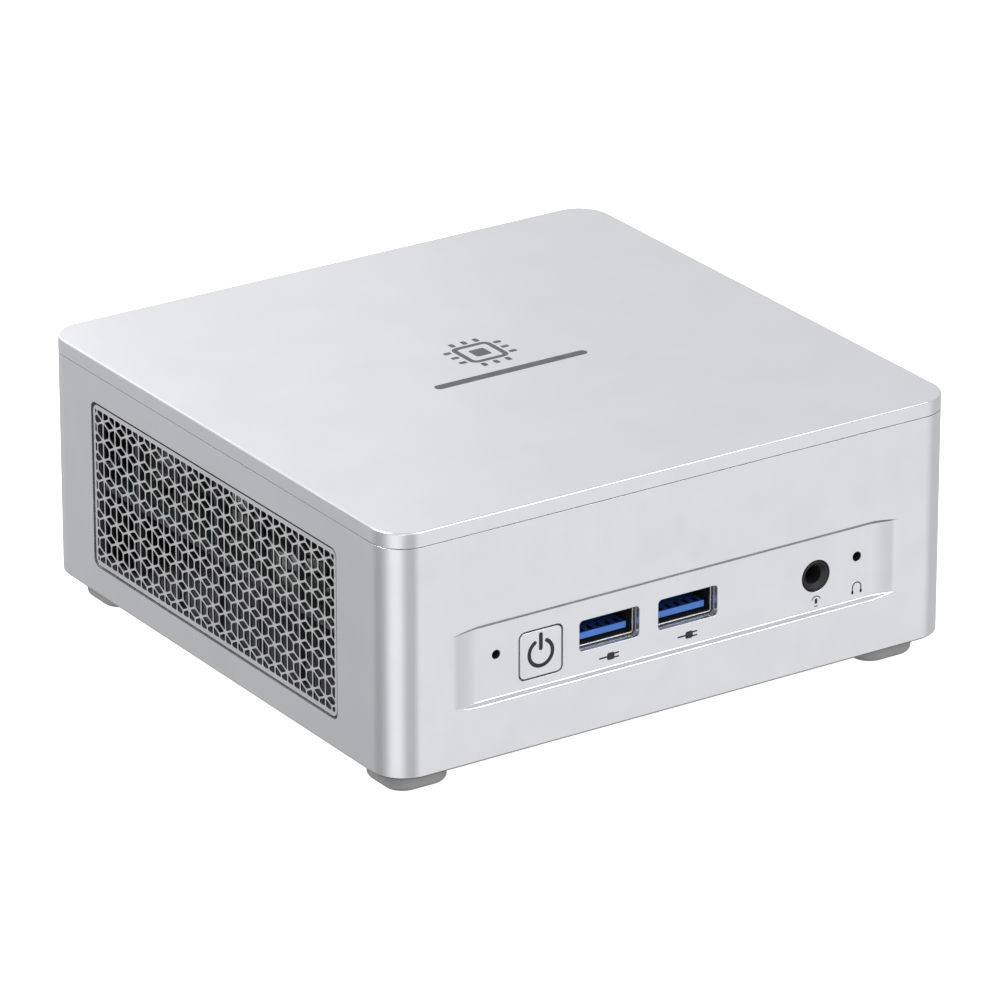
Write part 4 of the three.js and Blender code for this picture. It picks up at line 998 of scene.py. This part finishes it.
def usb_blade():
    """The contact blade, with a row of pits behind its nose and a block at its root."""
    top, bottom = BLADE["top"], BLADE["bottom"]
    outline = rounded_rect(2 * BLADE["half"], top - bottom, BLADE["edge"], 3, (0, (top + bottom) / 2))
    profile = rolled(BLADE["root"] - BLADE_ROOT["overlap"], USB["depth"] - 2 * GAP, first=BLADE_ROOT["edge"])
    root = rounded_rect(BLADE_ROOT["width"], BLADE_ROOT["height"], BLADE_ROOT["radius"])
    piece = solid(block(outline, "y", rolled(BLADE["start"], BLADE["root"], first=BLADE["edge"])))
    weld(piece, block(root, "y", profile))
    floor = top - CHANNELS["depth"]
    carve(piece, strips(spread(CHANNELS["count"], CHANNELS["pitch"]), CHANNELS["half"],
                        (CHANNELS["start"], CHANNELS["end"]), (floor, top + OVERSHOOT)))
    give_materials(piece, FINISHES["tongue_blue"], FINISHES["black_plastic"], BLUE_PAINTED_SHADE)
    # Painted shade: the blade's top, behind its nose, gets the darker blue.
    paint(piece, 2, (-FAR, BLADE["start"] + BLADE["edge"], top - HAIR), (FAR, USB["depth"], FAR))
    # Painted shade: the walls and floors of the pits are painted black.
    paint(piece, 1, (-BLADE["half"], CHANNELS["start"] - HAIR, floor - HAIR),
          (BLADE["half"], CHANNELS["end"] + HAIR, top - 5 * HAIR))
    contacts = strips(CONTACTS["places"], CONTACTS["half"], (CONTACTS["start"], CONTACTS["end"]),
                      (bottom - CONTACTS["proud"], bottom + CONTACTS["sunk"]))
    return piece, contacts


def usb_socket(node, name, place, blade_node=None):
    can, leaves = usb_can(node)
    blade, contacts = usb_blade()
    stand_for(settle(can, place), node)
    add_on(settle(leaves, place), name + "_springs", "socket_plating")
    add_on(settle(contacts, place), name + "_contacts", "copper", GOLD)
    if blade_node:
        stand_for(settle(blade, place), blade_node)
    else:
        add_on(settle(blade, place), name + "_blade", "tongue_blue")


def usb_sockets():
    for node in FRONT_USB:
        name = node.removesuffix("_shell")
        usb_socket(node, name, mouth_of(node, facing_rear=False), name + "_tongue")
    for node in ("usb_rear_left", "usb_rear_right"):
        usb_socket(node, node, mouth_of(node))


def audio_jack():
    """A round barrel with a funnelled bore, on a block, with a contact ring in the bore."""
    node = "audio_jack"
    low, high = span(node)
    place = mouth_of(node, facing_rear=False, level=jack_centre[1])
    length, bore, funnel = JACK["barrel_length"], JACK["bore"], JACK["funnel"]
    body = rounded_rect(high.x - low.x, high.z - low.z, 0.4, 3, (0, middle(node).z - jack_centre[1]))
    piece = weld(solid(block(circle(JACK["barrel"], 48), "y", rolled(0, length + OVERSHOOT, first=0.12))),
                 block(body, "y", rolled(length, high.y - low.y, first=0.2)))
    cone = JACK["barrel"] - JACK["rim"] - bore
    run_out = funnel / 4
    bore_profile = [(cone * (funnel + run_out) / funnel, -run_out), (0, funnel), (0, JACK["bore_length"])]
    carve(piece, block(circle(bore, 48), "y", bore_profile))
    stand_for(settle(piece, place), node)
    ring = pipe(circle(bore - HAIR, 40), JACK["contact_wall"], "y", *JACK["contact"])
    add_on(settle(ring, place), "audio_jack_contact", "copper", GOLD)


DC = {"radius": 0.6, "edge": 0.25, "well": 3.15, "depth": 10, "mouth": 0.35, "pin": 1.25, "pin_start": 1.5,
      "pin_end": 10.5, "sleeve_wall": 0.3, "sleeve": (2.5, 9.8)}


def dc_inlet():
    """A power inlet: a round well with a centre pin and a sprung sleeve."""
    node, place = "dc_inlet", mouth_of("dc_inlet")
    piece = socket_body(node, DC["radius"], DC["edge"])
    carve(piece, block(circle(DC["well"], 48), "y", flared(0, DC["depth"], DC["mouth"], 4)))
    stand_for(settle(piece, place), node)
    pin = block(circle(DC["pin"]), "y", rolled(DC["pin_start"], DC["pin_end"], first=DC["mouth"]))
    add_on(settle(pin, place), "dc_inlet_pin", "socket_plating")
    sleeve = pipe(circle(DC["well"] - HAIR, 48), DC["sleeve_wall"], "y", *DC["sleeve"])
    add_on(settle(sleeve, place), "dc_inlet_sleeve", "socket_plating")


PLATED = {"edge": 0.1, "mouth": 0.15, "blade_start": 0.8, "blade_overlap": 0.1, "blade_edge": 0.12}


def plated_socket(node, outer, sheet, depth, blade, pads=None):
    """A plated shell with a blade in it, and with a row of contacts on the blade."""
    place = mouth_of(node)
    shell = cup(outer, sheet, depth, size(node).y, PLATED["edge"], PLATED["mouth"])
    stand_for(settle(shell, place), node)
    profile = rolled(PLATED["blade_start"], depth + PLATED["blade_overlap"], first=PLATED["blade_edge"])
    add_on(settle(block(blade, "y", profile), place), node + "_blade", "black_plastic")
    if pads:
        add_on(settle(pads, place), node + "_contacts", "copper", GOLD)


def rear_video():
    """Two sockets whose shells narrow at the bottom."""
    shell = soften([(-5.6, -2.9), (5.6, -2.9), (7.4, -1.0), (7.4, 2.9), (-7.4, 2.9), (-7.4, -1.0)], 0.5, 3)
    blade = rounded_rect(11.2, 1.4, 0.2, 3, (0, 0.5))
    count, pitch, half = 10, 1, 0.15
    pads = strips(spread(count, pitch), half, (1.4, 9), (-0.24, 0.0))
    for node in ("hdmi_port_left", "hdmi_port_right"):
        plated_socket(node, shell, 0.4, 10, blade, pads)


def rear_usb_c():
    node = "usb_c_port"
    outer = rounded_rect(size(node).x, size(node).z, size(node).z / 2, 10)
    plated_socket(node, outer, 0.3, 7.9, rounded_rect(6.7, 0.7, 0.15, 3))


PLUG_WELL = {"width": 11.8, "height": 8.4, "depth": 13.4, "level": 1.0, "liner": 0.35, "wires": 8,
             "pitch": 1.02}


def ethernet_port():
    """A network socket: its shield, the liner of its well, eight sprung wires and two lamps."""
    node, place = "ethernet_port", mouth_of("ethernet_port")
    centre = (0, PLUG_WELL["level"])
    well = rounded_rect(PLUG_WELL["width"], PLUG_WELL["height"], 0.3, 3, centre)
    latch, latch_tip = rounded_rect(6.0, 1.8, 0.2, 3, (0, -3.8)), rounded_rect(3.2, 1.6, 0.2, 3, (0, -5.1))
    profile = flared(0, PLUG_WELL["depth"], 0.2)
    piece = socket_body(node, 0.5, 0.2)
    carve(piece, *(block(outline, "y", profile) for outline in (well, latch, latch_tip)))
    stand_for(settle(piece, place), node)
    liner = solid(pipe(grow(well, -HAIR), PLUG_WELL["liner"], "y", 0.4, PLUG_WELL["depth"]))
    carve(liner, box((-3.0, 3.0), (-1, PLUG_WELL["depth"]), (-4, -2.5)))
    add_on(settle(liner, place), "ethernet_liner", "black_plastic")
    wire = [(1.2, 4.8), (9.5, 2.0), (9.5, 2.3), (1.2, 5.05)]
    wires = []
    for x in spread(PLUG_WELL["wires"], PLUG_WELL["pitch"]):
        wires.append(loft([[(x + edge, y, z) for y, z in wire] for edge in (-0.2, 0.2)]))
    add_on(settle(together(wires), place), "ethernet_contacts", "copper", GOLD)
    lamp_profile = rolled(-0.05, 0.6, first=0.05)
    lamps = [block(rounded_rect(2.6, 1.6, 0.3, 3, (side * 5.6, -5.1)), "y", lamp_profile) for side in (-1, 1)]
    add_on(settle(together(lamps), place), "ethernet_lamps", "socket_plating", LAMP)


REAR_SOCKETS = ("dc_inlet", "usb_c_port", "hdmi_port_left", "hdmi_port_right", "ethernet_port",
                "usb_rear_left", "usb_rear_right")


def rear_io_plate():
    """The pressed plate behind the rear opening, cut round each socket."""
    low, high = span("rear_io_plate")
    profile = flared(high.y, low.y - OVERSHOOT, 0.12)
    holes = []
    for node in REAR_SOCKETS:
        outline = rounded_rect(size(node).x + 2 * GAP, size(node).z + 2 * GAP, 0.6, 3)
        holes.append(block(outline, "y", profile, (middle(node).x, middle(node).z)))
    plate = solid(box((low.x, high.x), (low.y, high.y), (low.z, high.z)))
    stand_for(carve(plate, together(holes)), "rear_io_plate")


# ---------------------------------------------------------------- inside

SOFT_EDGES = {
    "antenna_lead_left": 0.1, "antenna_lead_right": 0.1, "antenna_left": 0.12, "antenna_right": 0.12,
    "bay_fan_frame": 0.5, "blower_cover": 0.15, "blower_housing": 0.3, "blower_impeller": 0.12,
    "clock_battery": 0.3, "cold_plate": 0.25, "fan_bracket": 0.2, "fin_stack": 0.05, "heat_pipe_front": 0.5,
    "heat_pipe_rear": 0.5, "memory_socket_lower": 0.2, "memory_socket_upper": 0.2, "microphone": 0.1,
    "power_switch": 0.15, "ssd_heatsink": 0.15, "ssd_socket": 0.2, "wifi_socket": 0.2,
}
board_top = span("clock_battery")[0].z - GAP
board_bottom = span("cpu_package")[1].z + GAP


def softened(node, edge):
    """A copy of a CAD node in millimetres, with its edges rounded."""
    merge_distance, flat_angle, edge_angle = 0.001, math.radians(1), math.radians(40)
    form = bmesh.new()
    form.from_mesh(CAD[node].data)
    bmesh.ops.scale(form, vec=(1 / MM,) * 3, verts=form.verts)
    bmesh.ops.remove_doubles(form, verts=form.verts, dist=merge_distance)
    bmesh.ops.dissolve_limit(form, angle_limit=flat_angle, verts=form.verts, edges=form.edges)
    mesh = bpy.data.meshes.new(node)
    form.to_mesh(mesh)
    form.free()
    piece = link(mesh)
    bevel = piece.modifiers.new("edge", "BEVEL")
    bevel.width = edge
    bevel.segments = 2
    bevel.limit_method = "ANGLE"
    bevel.angle_limit = edge_angle
    return bake(piece)


def two_tone(node, edge, base, layers):
    """A softened CAD node whose layers above or below its base have finishes of their own."""
    piece = softened(node, edge)
    piece.data.materials.clear()
    give_materials(piece, base, *(layer[0] for layer in layers))
    for index, (material, low, high) in enumerate(layers, 1):
        paint(piece, index, low, high)
    stand_for(piece, node)


BOARD_EDGE = 0.12
CAPACITOR_REGION = {"x": (27, 58), "y": (-12, -6)}
MODULE_BOARD = 1.2
CARD_BOARD = 0.8


def boards():
    """The mainboard, the memory, the drive and the radio card, with chips, cans and chokes."""
    green, chip, metal = FINISHES["board"], FINISHES["chip"], FINISHES["socket_plating"]
    slack = 0.05
    cans = CAPACITOR_REGION
    two_tone("mainboard", BOARD_EDGE, green, [
        (chip, (-FAR, -FAR, board_top + slack), (FAR, FAR, FAR)),
        (chip, (-FAR, -FAR, 0), (FAR, FAR, board_bottom - slack)),
        (metal, (cans["x"][0], cans["y"][0], board_top + slack), (cans["x"][1], cans["y"][1], FAR))])
    for node in ("memory_module_lower", "memory_module_upper"):
        level = span(node)[0].z + MODULE_BOARD + slack
        two_tone(node, BOARD_EDGE, green, [(chip, (-FAR, -FAR, level), (FAR, FAR, FAR))])
    for node, top in (("ssd_module", chip), ("wifi_card", metal)):
        level = span(node)[0].z + CARD_BOARD + slack
        two_tone(node, BOARD_EDGE, green, [(top, (-FAR, -FAR, level), (FAR, FAR, FAR))])
    die_level = span("cpu_package")[0].z + slack
    two_tone("cpu_package", BOARD_EDGE, green, [(metal, (-FAR, -FAR, 0), (FAR, FAR, die_level))])


SMALL_PARTS = {
    "zones": [((-60.5, -51.5), (0, 45), 34), ((-48, 30), (43.5, 57), 60), ((24.5, 48), (-4, 14.5), 44),
              ((-60, -52.5), (-46, -24), 16), ((52.5, 60.5), (-46, 40), 46)],
    "chip_sizes": [(4.0, 4.0), (3.0, 5.0), (2.2, 2.2)], "chip_height": 0.8,
    "body": (1.0, 0.55), "body_height": 0.4, "end": 0.25, "chip_share": 0.14, "spacing": 0.5,
}
CAP = {"proud": 0.02, "radius": 0.05}


def small_part(is_chip, width, depth, place):
    """The body of a small chip or resistor, standing on the board."""
    height = SMALL_PARTS["chip_height" if is_chip else "body_height"]
    outline = rounded_rect(width, depth, 0.08, 2, place)
    return block(outline, "z", rolled(board_top, board_top + height, last=0.06))


def tinned_ends(width, depth, place):
    """The two tinned ends of a resistor."""
    long, end, proud = SMALL_PARTS["body"][0], SMALL_PARTS["end"], CAP["proud"]
    along = Vector((1, 0)) if width > depth else Vector((0, 1))
    cap = (end, depth) if width > depth else (width, end)
    profile = [(0, board_top), (0, board_top + SMALL_PARTS["body_height"] + proud)]
    ends = []
    for side in (-1, 1):
        centre = Vector(place) + along * side * (long - end) / 2
        outline = rounded_rect(cap[0] + 2 * proud, cap[1] + 2 * proud, CAP["radius"], 2, centre)
        ends.append(block(outline, "z", profile))
    return ends


def meets(a, b):
    return a[0] < b[2] and b[0] < a[2] and a[1] < b[3] and b[1] < a[3]


def small_parts():
    """Small chips, and resistors with tinned ends, in the free places of the board's upper side."""
    draw = random.Random(7)
    bodies, ends, chips = [], [], []
    keep_out = [span(node) for node in ("memory_socket_lower", "clock_battery", "wifi_socket", "ssd_socket")]
    keep_out += [span(f"board_screw_{i}") for i in range(1, 5)]
    taken = [(low.x, low.y, high.x, high.y) for low, high in keep_out]
    spacing = SMALL_PARTS["spacing"]
    for (left, right), (near, far), count in SMALL_PARTS["zones"]:
        for _ in range(count):
            is_chip = draw.random() < SMALL_PARTS["chip_share"]
            width, depth = draw.choice(SMALL_PARTS["chip_sizes"]) if is_chip else SMALL_PARTS["body"]
            if draw.random() < 0.5:
                width, depth = depth, width
            x = draw.uniform(left + width / 2, right - width / 2)
            y = draw.uniform(near + depth / 2, far - depth / 2)
            reach = (x - width / 2 - spacing, y - depth / 2 - spacing,
                     x + width / 2 + spacing, y + depth / 2 + spacing)
            if any(meets(reach, other) for other in taken):
                continue
            taken.append(reach)
            (chips if is_chip else bodies).append(small_part(is_chip, width, depth, (x, y)))
            if not is_chip:
                ends += tinned_ends(width, depth, (x, y))
    add_on(together(chips), "board_chips", "chip")
    add_on(together(bodies), "board_passives", "chip", CERAMIC)
    add_on(together(ends), "board_passive_ends", "socket_plating")


FAN = {"blades": 7, "hub": 12.0, "root": 11.4, "chord": 8.4, "thickness": 0.8, "steps": 8, "sides": 12,
       "root_pitch": math.radians(28), "tip_pitch": math.radians(24), "sweep": math.radians(20)}


def fan_blade(centre, radius, angle):
    """A swept and twisted blade, from inside the hub out to a radius."""
    sections = []
    for step in range(FAN["steps"] + 1):
        way = step / FAN["steps"]
        reach = FAN["root"] + (radius - FAN["root"]) * way
        pitch = FAN["root_pitch"] + (FAN["tip_pitch"] - FAN["root_pitch"]) * way
        turn = angle + FAN["sweep"] * way ** 2
        section = []
        for along, up in circle(1, FAN["sides"]):
            flat, thick = along * FAN["chord"] / 2, up * FAN["thickness"] / 2
            around = turn + (flat * math.cos(pitch) - thick * math.sin(pitch)) / reach
            rise = flat * math.sin(pitch) + thick * math.cos(pitch)
            section.append((centre.x + reach * math.cos(around), centre.y + reach * math.sin(around),
                            centre.z + rise))
        sections.append(section)
    return loft(sections)


def bay_fan():
    """The small fan's rotor, with swept blades and a plain label on its hub."""
    node = "bay_fan_rotor"
    low, high = span(node)
    frame_centre = middle("bay_fan_frame")
    centre = Vector((frame_centre.x, frame_centre.y, (low.z + high.z) / 2))
    place = (centre.x, centre.y)
    tip = high.x - centre.x
    piece = solid(block(circle(FAN["hub"], 64), "z", rolled(low.z, high.z, 0.3, 0.7), place))
    weld(piece, *(fan_blade(centre, tip, 2 * math.pi * i / FAN["blades"]) for i in range(FAN["blades"])))
    stand_for(piece, node)
    label = block(circle(FAN["hub"] - 2.2, 48), "z", [(0, high.z - 0.01), (0, high.z + 0.05)], place)
    add_on(label, "bay_fan_label", "black_plastic", LABEL, "bay_rotor")


def inside():
    for node, edge in SOFT_EDGES.items():
        stand_for(softened(node, edge), node)
    boards()
    small_parts()
    bay_fan()


# ---------------------------------------------------------------- studio

def studio_floor():
    reach = 8.0
    mesh = bpy.data.meshes.new("studio_floor")
    places = [(x * reach, y * reach, 0) for x, y in ((-1, -1), (1, -1), (1, 1), (-1, 1))]
    mesh.from_pydata(places, [], [(0, 1, 2, 3)])
    made = Finish("studio_white", Roughness=0.9, Emission_Strength=0.85, Emission_Color=(1, 1, 1, 1))
    made.colour(made.noise(900), (0.80, 0.80, 0.80), (0.84, 0.84, 0.84))
    mesh.materials.append(made.material)
    floor = link(mesh, "studio_floor")
    floor.visible_glossy = False
    floor.visible_diffuse = False
    floor.visible_shadow = False


def softbox(name, position, aim, width, power):
    """A square lamp that the camera doesn't see."""
    data = bpy.data.lights.new(name, "AREA")
    data.shape = "SQUARE"
    data.size = width
    data.energy = power
    lamp = link(data, name)
    lamp.location = position
    lamp.rotation_mode = "QUATERNION"
    lamp.rotation_quaternion = (Vector(aim) - Vector(position)).to_track_quat("-Z", "Y")
    lamp.visible_camera = False


# Where each lamp stands and what it faces, in metres, its width in metres and its power in watts.
SOFTBOXES = {
    "key": ((0.5, -1.3, 0.9), (0, 0, 0.03), 0.9, 9.0),
    "left_high": ((-0.35, 0.1, 0.4), (0, 0, 0.05), 0.3, 2.8),
    "left_low": ((-0.5, -0.8, 0.1), (0, 0, 0.03), 0.3, 0.6),
    "behind_left": ((0.1, 0.8, 0.36), (0, 0, 0.05), 0.4, 0.6),
    "behind_right": ((0.25, 0.75, 0.37), (0, 0, 0.05), 0.4, 0.07),
}
# The surroundings' brightness at about the object's level, by bearing in turns: 0 lies in front of the
# object, 0.25 to its right, 0.5 behind it and 0.75 to its left.
RING = [(0, 0.52), (0.06, 1.12), (0.125, 0.98), (0.19, 0.62), (0.31, 0.6),
        (0.5, 0.5), (0.56, 0.51), (0.625, 0.42), (0.66, 0.3), (0.70, 0.3),
        (0.75, 0.55), (0.81, 1.2), (0.875, 1.25), (0.94, 0.6), (1, 0.55)]
# How much of the ring shows, and the sky's own brightness, by height: 0 is straight down, 0.5 level.
RING_SHARE = [(0.233, 0), (0.367, 1), (0.5, 0)]
SKY = [(0.233, 0.08), (0.367, 0), (0.5, 0.5), (0.656, 0.80), (0.811, 0.64)]
BRIGHTEST = 1.5


def greys(stops, scale=1.0):
    return [(place, (bright / scale,) * 3) for place, bright in stops]


def studio_world():
    """Surroundings whose brightness depends on bearing and height, as white walls and flags give."""
    world = bpy.data.worlds.new("studio")
    bpy.context.scene.world = world
    world.use_nodes = True
    made = Nodes(world.node_tree)
    direction = made.node("ShaderNodeTexCoord").outputs["Generated"]
    x, y, z = made.node("ShaderNodeSeparateXYZ", {0: direction}).outputs
    turn = made.node("ShaderNodeMath", {0: x, 1: y}, operation="ARCTAN2").outputs[0]
    bearing = made.node("ShaderNodeMapRange", {"Value": turn, "From Min": math.pi, "From Max": -math.pi})
    rise = made.node("ShaderNodeMath", {0: z}, operation="ARCSINE").outputs[0]
    quarter = math.pi / 2
    height = made.node("ShaderNodeMapRange", {"Value": rise, "From Min": -quarter, "From Max": quarter})
    ring = made.ramp(bearing.outputs[0], greys(RING, BRIGHTEST))
    share = made.ramp(height.outputs[0], greys(RING_SHARE))
    sky = made.ramp(height.outputs[0], greys(SKY))
    shown = made.node("ShaderNodeMath", {0: ring, 1: BRIGHTEST}, operation="MULTIPLY").outputs[0]
    bright = made.node("ShaderNodeMath", {0: shown, 1: share, 2: sky}, operation="MULTIPLY_ADD").outputs[0]
    background = made.tree.nodes["Background"]
    background.inputs["Color"].default_value = (1, 1, 1, 1)
    made.tree.links.new(bright, background.inputs["Strength"])


VIEW = {"azimuth": math.radians(-33.5), "elevation": math.radians(22.78), "distance": 1460.0, "lens": 266.6,
        "sensor": 36.0, "centre": (0, 0, 29), "right": 0.91, "up": -2.82}


def photo_camera():
    """A long lens looking down on the front left corner."""
    azimuth, elevation = VIEW["azimuth"], VIEW["elevation"]
    back = Vector((math.sin(azimuth) * math.cos(elevation),
                   -math.cos(azimuth) * math.cos(elevation), math.sin(elevation)))
    right = Vector((0, 0, 1)).cross(back).normalized()
    target = Vector(VIEW["centre"]) + right * VIEW["right"] + back.cross(right) * VIEW["up"]
    data = bpy.data.cameras.new("photo_camera")
    data.sensor_width = VIEW["sensor"]
    data.lens = VIEW["lens"]
    camera = link(data, "photo_camera")
    camera.location = (target + back * VIEW["distance"]) * MM
    camera.rotation_mode = "QUATERNION"
    camera.rotation_quaternion = (-back).to_track_quat("-Z", "Y")
    bpy.context.scene.camera = camera


# ---------------------------------------------------------------- making

photo_camera()
main_shell()
side_grilles()
top_lid()
bottom_cover()
feet()
screws()
power_button()
front_signs()
usb_sockets()
audio_jack()
dc_inlet()
rear_video()
rear_usb_c()
ethernet_port()
rear_io_plate()
inside()
studio_floor()
studio_world()
for lamp_name, settings in SOFTBOXES.items():
    softbox(lamp_name + "_softbox", *settings)
bpy.context.scene.view_settings.view_transform = "Standard"
